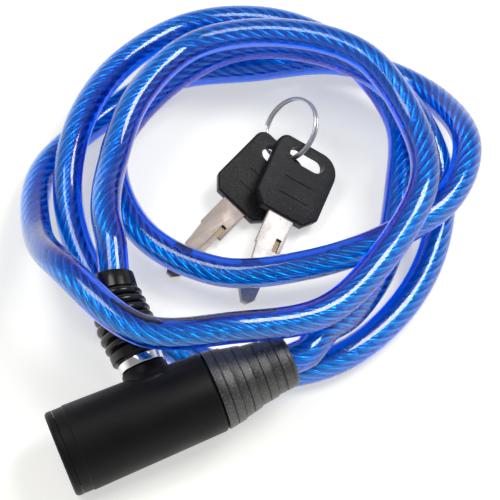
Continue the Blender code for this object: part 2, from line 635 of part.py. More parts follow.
def build_strain_relief(head, material):
    rounding = 1.0
    spigot = RELIEF_FRONT - RELIEF_SPIGOT
    outline = [(spigot, ANCHOR_RADIUS + SEAT_GAP), (spigot, CORE_RADIUS), (RELIEF_FRONT, CORE_RADIUS)]
    outline += relief_outline()
    outline += arc(RELIEF_REAR - rounding, RELIEF_END_RADIUS - rounding, rounding, 90.0, 0.0)
    strip = ANCHOR_REAR + SEAT_GAP
    outline += [(RELIEF_REAR, CABLE_RADIUS + SEAT_GAP), (strip, CABLE_RADIUS + SEAT_GAP),
                (strip, ANCHOR_RADIUS + SEAT_GAP)]
    return turned("strain_relief", outline, material, head, segments=40)


# Bolt and boot

def bent(x, y, z):
    """Bends a point of the boot or the cable in it. Past the crimp they lean towards the strain relief."""
    run = BOOT_MOUTH_Y - CRIMP_END
    share = max(0.0, y - CRIMP_END) / run
    slope = math.atan(2.0 * BOOT_BEND * share / run)
    out = x - SOCKET_X
    return (SOCKET_X + BOOT_BEND * share ** 2 + out * math.cos(slope), y - out * math.sin(slope), z)


def bend_mesh(mesh):
    for vertex in mesh.vertices:
        vertex.co = Vector(bent(*(vertex.co / MM))) * MM


def build_bolt(head, material):
    groove_low = NOSE_LOW_Y - BOLT_PLAY
    groove_high = NOSE_HIGH_Y + SEAT_GAP
    neck = BOLT_RADIUS - GROOVE_DEPTH
    edge = 0.35
    outline = [(BOLT_TIP_Y, 0.0), (BOLT_TIP_Y, BOLT_RADIUS - BOLT_TIP_CHAMFER),
               (BOLT_TIP_Y + BOLT_TIP_CHAMFER, BOLT_RADIUS), (groove_low, BOLT_RADIUS),
               (groove_low, neck), (groove_high, neck), (groove_high, BOLT_RADIUS),
               (FLANGE_FRONT, BOLT_RADIUS), (FLANGE_FRONT, FLANGE_RADIUS - edge),
               (FLANGE_FRONT + edge, FLANGE_RADIUS), (FLANGE_REAR - edge, FLANGE_RADIUS),
               (FLANGE_REAR, FLANGE_RADIUS - edge), (FLANGE_REAR, CRIMP_RADIUS), (CRIMP_END, CRIMP_RADIUS),
               (CRIMP_END, ANCHOR_BORE), (FLANGE_REAR + 1.0, ANCHOR_BORE), (FLANGE_REAR + 1.0, 0.0)]
    return turned("locking_bolt", outline, material, head, "Y", (SOCKET_X, 0.0, 0.0), 32)


def build_cable_bolt_end(head, material, rings=5):
    """The stripped rope in the bolt's crimp and the jacketed stretch that bends with the boot."""
    start = FLANGE_REAR + 1.0 + SEAT_GAP
    strip = CRIMP_END + SEAT_GAP
    outline = [(start, 0.0), (start, ROPE_RADIUS), (strip, ROPE_RADIUS)]
    outline += [(strip + (BOOT_MOUTH_Y - strip) * i / rings, CABLE_RADIUS) for i in range(rings + 1)]
    outline += [(BOOT_MOUTH_Y, 0.0)]
    end = turned("cable_bolt_end", outline, material, head, "Y", (SOCKET_X, 0.0, 0.0), 24)
    bend_mesh(end.data)
    return end


def boot_outline():
    """Outer side from the base to the mouth: a smooth base, round ribs, and a tapered neck."""
    outline = arc(BOOT_BASE_Y + 0.6, BOOT_BASE_RADIUS - 0.9, 0.6, 180.0, 90.0, 2)
    rib_start = BOOT_BASE_Y + BOOT_BASE_LENGTH
    outline.append((rib_start - 0.5, BOOT_BASE_RADIUS))
    for i, radius in enumerate(BOOT_RIB_RADII):
        valley = rib_start + BOOT_RIB_PITCH * i
        outline += [(valley, radius - BOOT_RIB_DEPTH), (valley + BOOT_RIB_PITCH * 0.28, radius - 0.18),
                    (valley + BOOT_RIB_PITCH * 0.5, radius), (valley + BOOT_RIB_PITCH * 0.72, radius - 0.18)]
    neck = rib_start + BOOT_RIB_PITCH * len(BOOT_RIB_RADII)
    outline += [(neck, BOOT_NECK_RADIUS), (BOOT_MOUTH_Y - 0.5, BOOT_MOUTH_RADIUS),
                (BOOT_MOUTH_Y, BOOT_MOUTH_RADIUS - 0.4)]
    return outline


def build_boot(head, material, bore_rings=4):
    crimp_room = CRIMP_RADIUS + SEAT_GAP
    cable_room = CABLE_RADIUS + SEAT_GAP
    narrow = CRIMP_END + BOOT_THROAT
    outline = boot_outline()
    outline += [(BOOT_MOUTH_Y - (BOOT_MOUTH_Y - narrow) * i / bore_rings, cable_room)
                for i in range(bore_rings + 1)]
    outline += [(CRIMP_END + 0.5, crimp_room), (BOOT_BASE_Y, crimp_room)]
    boot = turned("bolt_boot", outline, material, head, "Y", (SOCKET_X, 0.0, 0.0), 32)
    bend_mesh(boot.data)
    return boot


# Cable

def smooth_through(points, per_stretch):
    """Points of a smooth curve through all the given points, evenly loaded by chord length."""
    vectors = [Vector(p) for p in points]
    ends = [vectors[0] * 2.0 - vectors[1]] + vectors + [vectors[-1] * 2.0 - vectors[-2]]
    result = [vectors[0].copy()]
    for i in range(1, len(ends) - 2):
        p0, p1, p2, p3 = ends[i - 1:i + 3]
        t1 = (p1 - p0).length ** 0.5
        t2 = t1 + (p2 - p1).length ** 0.5
        t3 = t2 + (p3 - p2).length ** 0.5
        for step in range(1, per_stretch + 1):
            t = t1 + (t2 - t1) * step / per_stretch
            a1 = p0 * ((t1 - t) / t1) + p1 * (t / t1)
            a2 = p1 * ((t2 - t) / (t2 - t1)) + p2 * ((t - t1) / (t2 - t1))
            a3 = p2 * ((t3 - t) / (t3 - t2)) + p3 * ((t - t2) / (t3 - t2))
            b1 = a1 * ((t2 - t) / t2) + a2 * (t / t2)
            b2 = a2 * ((t3 - t) / (t3 - t1)) + a3 * ((t - t1) / (t3 - t1))
            result.append(b1 * ((t2 - t) / (t2 - t1)) + b2 * ((t - t1) / (t2 - t1)))
    return result


def points_at(points, places):
    """Points of a line at the given lengths along it, in rising order."""
    result = []
    walked = 0.0
    stretches = iter(zip(points, points[1:]))
    a, b = next(stretches)
    for place in places:
        while walked + (b - a).length < place - 1e-6:
            walked += (b - a).length
            a, b = next(stretches)
        result.append(a.lerp(b, (place - walked) / (b - a).length))
    return result


def cable_points(head):
    """The cable's middle line: out of the strain relief, round its turns, and straight into the boot."""
    place = head.matrix_world
    start = Vector((RELIEF_REAR + SEAT_GAP, 0.0, 0.0))
    exit_line = [start, start + Vector((CABLE_RADIUS, 0.0, 0.0))]
    mouth = Vector(bent(SOCKET_X, BOOT_MOUTH_Y, 0.0))
    lean = math.atan(2.0 * BOOT_BEND / (BOOT_MOUTH_Y - CRIMP_END))
    direction = Vector((math.sin(lean), math.cos(lean), 0.0))
    entry_line = [mouth + direction * (SEAT_GAP + 2.0 * CABLE_RADIUS), mouth + direction * SEAT_GAP]
    exit_line, entry_line = ([place @ (p * MM) / MM for p in line] for line in (exit_line, entry_line))
    steps = 8
    line = smooth_through(exit_line + CABLE_ROUTE + entry_line, steps)[steps:-steps]
    length = sum((b - a).length for a, b in zip(line, line[1:]))
    end_run = CABLE_END_SPACING * CABLE_END_POINTS
    ends = [CABLE_END_SPACING * i for i in range(CABLE_END_POINTS)]
    count = round((length - 2.0 * end_run) / CABLE_SPACING)
    middle = [end_run + (length - 2.0 * end_run) * i / count for i in range(count + 1)]
    places = ends + middle + [length - along for along in reversed(ends)]
    return exit_line[:1] + points_at(line, places) + entry_line[1:]


def build_cable(head, material):
    points = cable_points(head)
    length = sum((b - a).length for a, b in zip(points, points[1:]))
    print(f"cable: {len(points)} points, {length:.0f} mm of free length")
    print(f"cable least gap to itself: {least_gap(points, 2.0 * CABLE_RADIUS, 4):.2f} mm")
    return add_tube("cable", points, CABLE_RADIUS, CABLE_SIDES_PER_QUARTER, material)


# Keys and ring

def bow_outline():
    """Round top corners, one larger than the other, and cut lower corners."""
    half = BOW_WIDTH / 2.0
    top, bottom = -BOW_ABOVE_HOLE, BOW_BELOW_HOLE
    small, large = BOW_SMALL_CORNER, BOW_LARGE_CORNER
    outline = arc(top + small, -half + small, small, 180.0, 270.0)
    outline += [(bottom - BOW_CHAMFER, -half), (bottom, -half + BOW_CHAMFER * 0.8)]
    outline += [(bottom, half - BOW_CHAMFER * 0.8), (bottom - BOW_CHAMFER, half)]
    outline += arc(top + large, half - large, large, 90.0, 180.0, 6)
    return outline


def hole_outline(steps=8):
    """A long round hole across the bow."""
    radius = HOLE_WIDTH / 2.0
    reach = HOLE_LENGTH / 2.0 - radius
    return arc(0.0, reach, radius, 0.0, 180.0, steps) + arc(0.0, -reach, radius, 180.0, 360.0, steps)


def blade_outline():
    """From the tang in the bow to the tip, down one edge and back up the other."""
    root = BOW_BELOW_HOLE
    tang = root - TANG_LENGTH
    stop = root + SHOULDER_LENGTH
    tip = root + BLADE_LENGTH
    left = [(tang, -SHOULDER_HALF_WIDTH), (stop, -SHOULDER_HALF_WIDTH),
            (stop, -BLADE_HALF_WIDTH - NECK_STEP), (stop + NECK_LENGTH, -BLADE_HALF_WIDTH)]
    notch = BITTING_DEPTH - BLADE_HALF_WIDTH
    for start in (stop + along for along in BITTING_STARTS):
        left += [(start, -BLADE_HALF_WIDTH), (start + BITTING_LENGTH / 3.0, notch),
                 (start + BITTING_LENGTH * 2.0 / 3.0, notch), (start + BITTING_LENGTH, -BLADE_HALF_WIDTH)]
    point = [(tip - TIP_CHAMFER, -BLADE_HALF_WIDTH), (tip, -BLADE_HALF_WIDTH + TIP_CHAMFER * 0.8),
             (tip, BLADE_HALF_WIDTH - TIP_CHAMFER * 0.8), (tip - TIP_CHAMFER, BLADE_HALF_WIDTH)]
    right = [(stop + 0.3, BLADE_HALF_WIDTH), (stop + 0.3, SHOULDER_HALF_WIDTH), (tang, SHOULDER_HALF_WIDTH)]
    return left + point + right


def build_key(number, hole, turn, finishes):
    frame = add_frame(f"key_{number}_frame", hole, turn)
    half = BOW_THICKNESS / 2.0
    bow = add_object(f"key_{number}_bow", extruded_mesh("bow", bow_outline(), -half, half),
                     finishes["bow_plastic"], frame)
    bevel = bow.modifiers.new("Edges", "BEVEL")
    bevel.width = BOW_EDGE * MM
    bevel.segments = 2
    bevel.limit_method = "ANGLE"
    bevel.angle_limit = math.radians(50.0)
    cut(bow, extruded_mesh("ring_hole", hole_outline(), -half - CUT_OVERRUN, half + CUT_OVERRUN))
    tang_start = BOW_BELOW_HOLE - TANG_LENGTH - SEAT_GAP
    room = BLADE_THICKNESS / 2.0 + SEAT_GAP
    cut(bow, block_mesh("tang_pocket", (tang_start, -SHOULDER_HALF_WIDTH - SEAT_GAP, -room),
                        (BOW_BELOW_HOLE + CUT_OVERRUN, SHOULDER_HALF_WIDTH + SEAT_GAP, room)))
    for place in BOW_LINES:
        cut(bow, block_mesh(f"grip_line_{place:.0f}",
                            (place - BOW_LINE_WIDTH / 2.0, BOW_LINE_START, half - BOW_LINE_DEPTH),
                            (place + BOW_LINE_WIDTH / 2.0, BOW_LINE_END, half + CUT_OVERRUN)))
    thick = BLADE_THICKNESS / 2.0
    blade = add_object(f"key_{number}_blade", extruded_mesh("blade", blade_outline(), -thick, thick),
                       finishes["nickel"], frame)
    past_tip = BOW_BELOW_HOLE + BLADE_LENGTH + CUT_OVERRUN
    cut(blade, block_mesh("ledge", (BOW_BELOW_HOLE + LEDGE_START, LEDGE_INNER, thick - LEDGE_DEPTH),
                          (past_tip, BLADE_HALF_WIDTH, thick + CUT_OVERRUN)))
    return frame


def ring_points(points_per_turn=24):
    """Two turns of wire, side by side, with the step between them where the ends stand apart."""
    frame_matrix = Euler([math.radians(a) for a in RING_TURN], "XYZ").to_matrix()
    total = 720.0 - 2.0 * RING_GAP_ANGLE
    count = round(points_per_turn * total / 360.0)
    points = []
    for i in range(count + 1):
        angle = RING_GAP_ANGLE + total * i / count
        step = (angle - 360.0) / RING_GAP_ANGLE
        layer = RING_LAYER * math.sin(math.pi / 2.0 * max(-1.0, min(1.0, step)))
        turn = math.radians(angle + RING_ENDS_ANGLE)
        local = Vector((RING_RADIUS * math.cos(turn), RING_RADIUS * math.sin(turn), layer))
        points.append(Vector(RING_PLACE) + frame_matrix @ local)
    return points


def build_split_ring(material):
    points = ring_points()
    print(f"split_ring least gap to itself: {least_gap(points, 2.0 * RING_WIRE_RADIUS, 8):.2f} mm")
    return add_tube("split_ring", points, RING_WIRE_RADIUS, 2, material)


def build_lock_head(finishes):
    head = add_frame("lock_head_frame", HEAD_PLACE, (BOLT_RISE, -HEAD_TILT, HEAD_HEADING))
    build_sleeve(head, finishes["black_plastic"])
    build_end_cap(head, finishes["black_plastic"])
    build_core(head, finishes["zinc"])
    build_cylinder_shell(head, finishes["brass"])
    build_cylinder_pin(head, finishes["steel"])
    build_plug(head, finishes["brass"])
    build_wafers(head, finishes["brass"])
    build_plug_clip(head, finishes["steel"])
    build_latch(head, finishes["steel"])
    build_springs(head, finishes["steel"])
    build_anchor(head, finishes["steel"])
    build_cable_head_end(head, finishes["blue_jacket"])
    build_strain_relief(head, finishes["black_plastic"])
    build_bolt(head, finishes["chrome"])
    build_cable_bolt_end(head, finishes["blue_jacket"])
    build_boot(head, finishes["black_rubber"])
    bpy.context.view_layer.update()
    return head


def main():
    for obj in list(bpy.data.objects):
        bpy.data.objects.remove(obj)
    finishes = make_finishes()
    head = build_lock_head(finishes)
    build_cable(head, finishes["blue_jacket"])
    build_key(1, KEY_1_PLACE, KEY_1_TURN, finishes)
    build_key(2, KEY_2_PLACE, KEY_2_TURN, finishes)
    build_split_ring(finishes["steel"])


main()
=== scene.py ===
"""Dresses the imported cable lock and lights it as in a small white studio.

The lock lies on the floor with its cable in loose turns. A clear blue jacket shows the steel rope
in it, the key head, the boot and the keys' bows are black, and the metal is chromed, nickelled or
bright.

Sizes are in millimetres in the frame of the CAD model, and become metres where a mesh is made. The
outline of a turned piece is (along, radius), and that of a flat piece is (x, y).
"""

import json
import logging
import math
from dataclasses import dataclass, field
from enum import Enum

import bpy
from mathutils import Euler, Matrix, Vector
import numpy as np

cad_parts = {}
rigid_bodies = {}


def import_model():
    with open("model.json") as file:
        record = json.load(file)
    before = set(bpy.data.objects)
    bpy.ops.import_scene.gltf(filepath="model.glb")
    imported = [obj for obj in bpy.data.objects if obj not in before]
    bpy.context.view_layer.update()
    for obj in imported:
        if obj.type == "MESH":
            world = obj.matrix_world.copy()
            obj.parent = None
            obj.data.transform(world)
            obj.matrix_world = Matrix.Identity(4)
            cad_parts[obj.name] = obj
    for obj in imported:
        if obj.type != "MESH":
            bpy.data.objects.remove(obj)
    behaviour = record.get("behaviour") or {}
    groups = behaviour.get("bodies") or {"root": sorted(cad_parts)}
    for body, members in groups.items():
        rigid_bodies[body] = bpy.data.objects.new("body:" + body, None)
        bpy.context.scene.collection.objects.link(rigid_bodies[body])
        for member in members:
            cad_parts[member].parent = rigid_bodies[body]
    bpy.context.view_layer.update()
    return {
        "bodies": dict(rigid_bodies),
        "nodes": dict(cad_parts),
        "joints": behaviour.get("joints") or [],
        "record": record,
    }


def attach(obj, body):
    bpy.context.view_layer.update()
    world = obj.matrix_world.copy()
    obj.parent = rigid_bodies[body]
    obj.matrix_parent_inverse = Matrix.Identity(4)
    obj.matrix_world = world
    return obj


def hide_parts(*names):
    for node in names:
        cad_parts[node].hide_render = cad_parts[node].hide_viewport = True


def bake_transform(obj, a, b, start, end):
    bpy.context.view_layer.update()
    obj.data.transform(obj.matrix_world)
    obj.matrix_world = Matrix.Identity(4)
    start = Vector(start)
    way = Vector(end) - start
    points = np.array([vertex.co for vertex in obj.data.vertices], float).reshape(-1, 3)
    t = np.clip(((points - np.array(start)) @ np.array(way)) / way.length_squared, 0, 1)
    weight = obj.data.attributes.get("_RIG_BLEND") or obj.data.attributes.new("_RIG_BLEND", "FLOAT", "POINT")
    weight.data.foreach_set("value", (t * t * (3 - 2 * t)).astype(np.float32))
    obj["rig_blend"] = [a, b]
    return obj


LOG = logging.getLogger("cable_lock")
MM = 0.001
FULL_TURN = 2.0 * math.pi
Span = tuple[float, float]
Point = tuple[float, float, float]
Profile = tuple[Span, ...]
Outline = list[Span]
Socket = bpy.types.NodeSocket


class Body(Enum):
    """The moving bodies that the new pieces ride on."""

    HEAD = "lock_head"
    BOLT = "bolt"
    KEY_1 = "key_1"
    KEY_2 = "key_2"


class Slot(Enum):
    """The record's finishes."""

    BLACK_PLASTIC = "black_plastic"
    BOW_PLASTIC = "bow_plastic"
    RUBBER = "black_rubber"
    JACKET = "blue_jacket"
    CHROME = "chrome"
    NICKEL = "nickel"
    STEEL = "steel"


# Finishes: patterns are in waves per metre, and depths in metres

CLOUDS: Span = (0.3, 0.7)
WHITE = (1.0, 1.0, 1.0, 1.0)


class Bench:
    """A new material's node tree, with short ways to add and join nodes."""

    def __init__(self, name: str) -> None:
        """Starts a material with a Principled shader.

        Args:
            name: the material's name.
        """
        self.material = bpy.data.materials.new(name)
        self.material.use_nodes = True
        self.tree = self.material.node_tree
        self.shader = self.tree.nodes["Principled BSDF"]
        self.output = self.tree.nodes["Material Output"]
        self.place = self.add("ShaderNodeTexCoord").outputs["Object"]

    def feed(self, socket: Socket, value: object) -> None:
        """Links another node's output to an input, or sets the input.

        Args:
            socket: the input.
            value: the output, or a value.
        """
        if isinstance(value, Socket):
            self.tree.links.new(value, socket)
        else:
            socket.default_value = value

    def set_inputs(self, node: bpy.types.Node, **inputs: object) -> bpy.types.Node:
        """Sets a node's inputs by name.

        Args:
            node: the node.
            inputs: values, or outputs of other nodes, by input name with _ for a space.

        Returns:
            The node.
        """
        for key, value in inputs.items():
            self.feed(node.inputs[key.replace("_", " ")], value)
        return node

    def add(self, kind: str, **inputs: object) -> bpy.types.Node:
        """Adds a node of a type, and sets its inputs as set_inputs does."""
        return self.set_inputs(self.tree.nodes.new(kind), **inputs)

    def shade(self, **inputs: object) -> None:
        """Sets inputs of the shader, as set_inputs does."""
        self.set_inputs(self.shader, **inputs)

    def noise(self, scale: float, detail: float = 3.0, roughness: float = 0.55) -> Socket:
        """Adds a noise of that many waves per metre on the object's own coordinates."""
        return self.add("ShaderNodeTexNoise", Vector=self.place, Scale=scale, Detail=detail,
                        Roughness=roughness).outputs["Fac"]

    def spread(self, source: Socket, span: Span, to: Span) -> Socket:
        """Maps a value from one range to another, and holds it there."""
        return self.add("ShaderNodeMapRange", Value=source, From_Min=span[0], From_Max=span[1],
                        To_Min=to[0], To_Max=to[1]).outputs["Result"]

    def bump(self, height: Socket, depth: float, strength: float = 1.0) -> Socket:
        """Turns a height from 0 to 1 into a normal."""
        return self.add("ShaderNodeBump", Height=height, Distance=depth,
                        Strength=strength).outputs["Normal"]

    def blend(self, share: Socket, one: Point | Socket, other: Point | Socket) -> Socket:
        """Mixes two colours.

        Args:
            share: 0 where the first colour shows and 1 where the second does.
            one: the first colour.
            other: the second colour.

        Returns:
            The mixed colour.
        """
        node = self.add("ShaderNodeMix")
        node.data_type = "RGBA"
        self.feed(node.inputs["Factor"], share)
        for name, colour in (("A", one), ("B", other)):
            socket = next(s for s in node.inputs if s.name == name and s.type == "RGBA")
            self.feed(socket, colour if isinstance(colour, Socket) else (*colour, 1.0))
        return next(s for s in node.outputs if s.type == "RGBA")


@dataclass(frozen=True)
class Moulded:
    """Moulded black plastic or rubber: fine grain, uneven sheen, specks of dust and painted glints."""

    name: str
    colour: Point
    dust_and_glint: Point
    roughness: float
    grain: float = 2600.0
    depth: float = 0.00004
    specular: float = 0.4
    dust_glint_from: float = 0.62
    dust_glint_run: float = 0.18
    dust_glint_size: float = 0.7
    cloud_size: float = 30.0
    cloud_share: float = 0.6
    cloud_tone: float = 1.35
    sheen: Span = (-0.06, 0.08)

    def material(self) -> bpy.types.Material:
        """Makes the finish.

        Returns:
            Its material.
        """
        bench = Bench(self.name)
        grain = bench.noise(self.grain, detail=4.0, roughness=0.65)
        cloud = bench.noise(self.grain / self.cloud_size)
        # Pale specks: partly dust, partly painted glints that stand in for the grain's sparkle.
        dust_glint_share = bench.spread(bench.noise(self.grain * self.dust_glint_size, detail=2.0, roughness=0.8),
                            (self.dust_glint_from, self.dust_glint_from + self.dust_glint_run), (0.0, 1.0))
        tone = bench.blend(bench.spread(cloud, CLOUDS, (0.0, self.cloud_share)), self.colour,
                           tuple(self.cloud_tone * c for c in self.colour))
        sheen = tuple(self.roughness + more for more in self.sheen)
        bench.shade(Base_Color=bench.blend(dust_glint_share, tone, self.dust_and_glint),
                    Roughness=bench.spread(cloud, CLOUDS, sheen),
                    Normal=bench.bump(grain, self.depth), Specular_IOR_Level=self.specular)
        return bench.material


@dataclass(frozen=True)
class ClearJacket:
    """Clear vinyl, dyed all through, so that thick places are deep and thin ones pale."""

    name: str
    tint: Point
    dye: Point
    strength: float
    ior: float = 1.49
    specular: float = 0.2
    coat: float = 0.65
    coat_roughness: float = 0.13
    sheen: Span = (0.02, 0.05)
    sheen_size: float = 180.0
    wave_size: float = 38.0
    wave_depth: float = 0.0005
    wave_strength: float = 0.2

    def material(self) -> bpy.types.Material:
        """Makes the finish.

        Returns:
            Its material.
        """
        bench = Bench(self.name)
        waves = bench.bump(bench.noise(self.wave_size, detail=1.0), self.wave_depth,
                           self.wave_strength)
        bench.shade(Roughness=bench.spread(bench.noise(self.sheen_size), CLOUDS, self.sheen),
                    Normal=waves, Base_Color=(*self.tint, 1.0), IOR=self.ior,
                    Transmission_Weight=1.0, Specular_IOR_Level=self.specular,
                    Coat_Weight=self.coat, Coat_Roughness=self.coat_roughness)
        volume = bench.add("ShaderNodeVolumeAbsorption", Color=(*self.dye, 1.0),
                           Density=self.strength)
        bench.feed(bench.output.inputs["Volume"], volume.outputs["Volume"])
        return bench.material


@dataclass(frozen=True)
class Metal:
    """Metal with uneven sheen, fine speckles and worn places of a second colour."""

    name: str
    colour: Point
    dark_patch: Point
    roughness: float
    speckle: float = 900.0
    wear: float = 0.35
    depth: float = 0.00002
    metallic: float = 1.0
    worn_from: Span = (0.52, 0.72)
    cloud_size: float = 9.0
    sheen: Span = (0.75, 1.3)

    def material(self) -> bpy.types.Material:
        """Makes the finish.

        Returns:
            Its material.
        """
        bench = Bench(self.name)
        speckle = bench.noise(self.speckle, detail=5.0, roughness=0.7)
        cloud = bench.noise(self.speckle / self.cloud_size)
        share = bench.spread(speckle, self.worn_from, (0.0, self.wear))
        sheen = tuple(self.roughness * times for times in self.sheen)
        bench.shade(Base_Color=bench.blend(share, self.colour, self.dark_patch),
                    Roughness=bench.spread(cloud, CLOUDS, sheen),
                    Normal=bench.bump(speckle, self.depth), Metallic=self.metallic)
        return bench.material


BLACK_PLASTIC = Moulded("black_moulded_plastic", (0.005, 0.0045, 0.0055), (0.020, 0.019, 0.020),
                        roughness=0.42, specular=0.16)
# The relief's pale grey specks are mostly painted glints on the black.
RELIEF_PLASTIC = Moulded("black_relief_plastic", (0.010, 0.0095, 0.0105), (0.20, 0.195, 0.20),
                         roughness=0.34, grain=2800.0, depth=0.00012, specular=0.90,
                         dust_glint_from=0.54)
# The bows' pale specks are partly painted glints.
BOW_PLASTIC = Moulded("grainy_bow_plastic", (0.004, 0.0037, 0.0044), (0.060, 0.058, 0.063),
                      roughness=0.36, grain=2400.0, depth=0.00018, specular=0.32, dust_glint_from=0.57)
RUBBER = Moulded("black_boot_rubber", (0.004, 0.0038, 0.004), (0.020, 0.019, 0.019),
                 roughness=0.20, grain=1500.0, depth=0.00002, specular=0.45)
JACKET = ClearJacket("clear_blue_vinyl", tint=(1.0, 1.0, 1.0), dye=(0.0, 0.835, 0.992),
                     strength=1500.0)
ROPE_STEEL = Metal("galvanised_rope_wire", (0.95, 0.96, 0.97), (0.70, 0.72, 0.75), roughness=0.30,
                   speckle=2600.0, wear=0.4, depth=0.00001)
CHROME = Metal("polished_chrome", (0.88, 0.88, 0.90), (0.74, 0.74, 0.76), roughness=0.10,
               speckle=700.0, wear=0.3, depth=0.000004)
# One nickel plating in two copies: the upper key's is painted lighter, as lit, and the lower key's darker,
# as in shade.
NICKEL_PAINTED_LIT = Metal("nickel_plate_painted_lit", (0.84, 0.79, 0.74), (0.40, 0.30, 0.27),
                      roughness=0.42, speckle=1900.0, wear=0.9, depth=0.00004, metallic=0.25)
NICKEL_PAINTED_SHADE = Metal("nickel_plate_painted_shade", (0.44, 0.36, 0.32), (0.32, 0.25, 0.21), roughness=0.45,
                    speckle=1700.0, wear=0.8, depth=0.00004, metallic=0.25)
# Dark brass: on the key blades it is the painted shade beside the ledge's wall.
MILLED_BRASS = Metal("milled_brass", (0.20, 0.155, 0.10), (0.13, 0.10, 0.06), roughness=0.40,
                     speckle=1500.0)
TURNED_BRASS = Metal("turned_brass", (0.62, 0.46, 0.20), (0.42, 0.29, 0.12), roughness=0.30,
                     speckle=1200.0)
RING_STEEL = Metal("bright_ring_steel", (0.66, 0.66, 0.65), (0.36, 0.36, 0.36), roughness=0.24,
                   speckle=1100.0, wear=0.6, metallic=0.7)
DRAWN_STEEL = Metal("drawn_steel", (0.52, 0.53, 0.54), (0.36, 0.36, 0.37), roughness=0.34,
                    speckle=1400.0)
ZINC = Metal("cast_zinc", (0.36, 0.37, 0.38), (0.25, 0.25, 0.26), roughness=0.50, speckle=800.0,
             wear=0.6, depth=0.00008)


# Ways of working


def turned(angles: Point) -> Matrix:
    """Returns the rotation by XYZ angles in degrees."""
    return Euler([math.radians(a) for a in angles], "XYZ").to_matrix()


def frame_at(place: Point, angles: Point) -> Matrix:
    """Returns a frame in metres, from a place in millimetres and XYZ angles in degrees."""
    return Matrix.Translation(Vector(place) * MM) @ turned(angles).to_4x4()


def select_only(obj: bpy.types.Object) -> None:
    """Selects one object and makes it the active one.

    Args:
        obj: the object.
    """
    bpy.ops.object.select_all(action="DESELECT")
    obj.select_set(True)
    bpy.context.view_layer.objects.active = obj


def place_at(obj: bpy.types.Object, frame: Matrix) -> bpy.types.Object:
    """Puts a piece into a frame and writes its place into its mesh.

    Args:
        obj: the piece, made round the frame's origin.
        frame: where the origin and the axes go.

    Returns:
        The piece, at the origin.
    """
    select_only(obj)
    obj.matrix_world = frame @ obj.matrix_world
    bpy.context.view_layer.update()
    bpy.ops.object.transform_apply(location=True, rotation=True, scale=True)
    return obj


def smooth(obj: bpy.types.Object, angle: float = 32.0) -> None:
    """Shades a piece smooth, and leaves edges past that angle sharp."""
    select_only(obj)
    bpy.ops.object.shade_smooth_by_angle(angle=math.radians(angle))


def apply_modifier(obj: bpy.types.Object, kind: str, **settings: object) -> None:
    """Adds a modifier, sets it and applies it at once.

    Args:
        obj: the piece.
        kind: the modifier's type.
        settings: its settings by name.
    """
    select_only(obj)
    modifier = obj.modifiers.new(kind.title(), kind)
    for key, value in settings.items():
        setattr(modifier, key, value)
    bpy.ops.object.modifier_apply(modifier=modifier.name)


def cut(obj: bpy.types.Object, tool: bpy.types.Object, join: bool = False) -> None:
    """Cuts a piece with another shape, or joins the shape on, and deletes the shape.

    Args:
        obj: the piece.
        tool: the other shape.
        join: whether the shape is joined on.
    """
    apply_modifier(obj, "BOOLEAN", operation="UNION" if join else "DIFFERENCE", object=tool,
                   solver="EXACT", material_mode="TRANSFER")
    mesh = tool.data
    bpy.data.objects.remove(tool)
    bpy.data.meshes.remove(mesh)


def dress(obj: bpy.types.Object, material: bpy.types.Material) -> bpy.types.Object:
    """Gives a piece its material.

    Args:
        obj: the piece.
        material: the material, in place of all that it has.

    Returns:
        The piece.
    """
    obj.data.materials.clear()
    obj.data.materials.append(material)
    return obj


def seat(piece: bpy.types.Object, body: Body, node: str) -> None:
    """Lets a piece ride on a body and stand for a CAD node, which is hidden.

    Args:
        piece: the finished piece.
        body: the body that it rides on.
        node: the CAD node that it stands for.
    """
    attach(piece, body.value)
    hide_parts(node)
    LOG.info("%s rides on %s", piece.name, body.value)


def turn_outline(name: str, outline: Outline, sides: int = 96) -> bpy.types.Object:
    """Turns a piece round Z: a circle is extruded from place to place and resized there.

    Args:
        name: the piece's name.
        outline: (along, radius). Where the last is the first, the piece is a ring.
        sides: sides of the circle.

    Returns:
        The piece, with its axis on Z.
    """
    closed = outline[0] == outline[-1]
    bpy.ops.object.select_all(action="DESELECT")
    along, radius = outline[0]
    bpy.ops.mesh.primitive_circle_add(vertices=sides, radius=radius * MM,
                                      location=(0, 0, along * MM),
                                      fill_type="NOTHING" if closed else "NGON")
    piece = bpy.context.object
    piece.name = piece.data.name = name
    bpy.ops.object.mode_set(mode="EDIT")
    bpy.ops.mesh.select_mode(type="EDGE")
    if closed:
        bpy.ops.mesh.select_all(action="SELECT")
    else:
        bpy.ops.mesh.region_to_loop()
    for next_along, next_radius in outline[1:]:
        bpy.ops.mesh.extrude_edges_move(
            TRANSFORM_OT_translate={"value": (0.0, 0.0, (next_along - along) * MM)})
        if next_radius != radius:
            size = next_radius / radius
            bpy.ops.transform.resize(value=(size, size, 1.0),
                                     center_override=(0.0, 0.0, next_along * MM))
        along, radius = next_along, next_radius
    if not closed:
        bpy.ops.mesh.edge_face_add()
    bpy.ops.mesh.select_all(action="SELECT")
    bpy.ops.mesh.remove_doubles(threshold=1e-7)
    bpy.ops.mesh.normals_make_consistent(inside=False)
    bpy.ops.object.mode_set(mode="OBJECT")
    bpy.ops.object.transform_apply(location=True, rotation=True, scale=True)
    smooth(piece)
    return piece


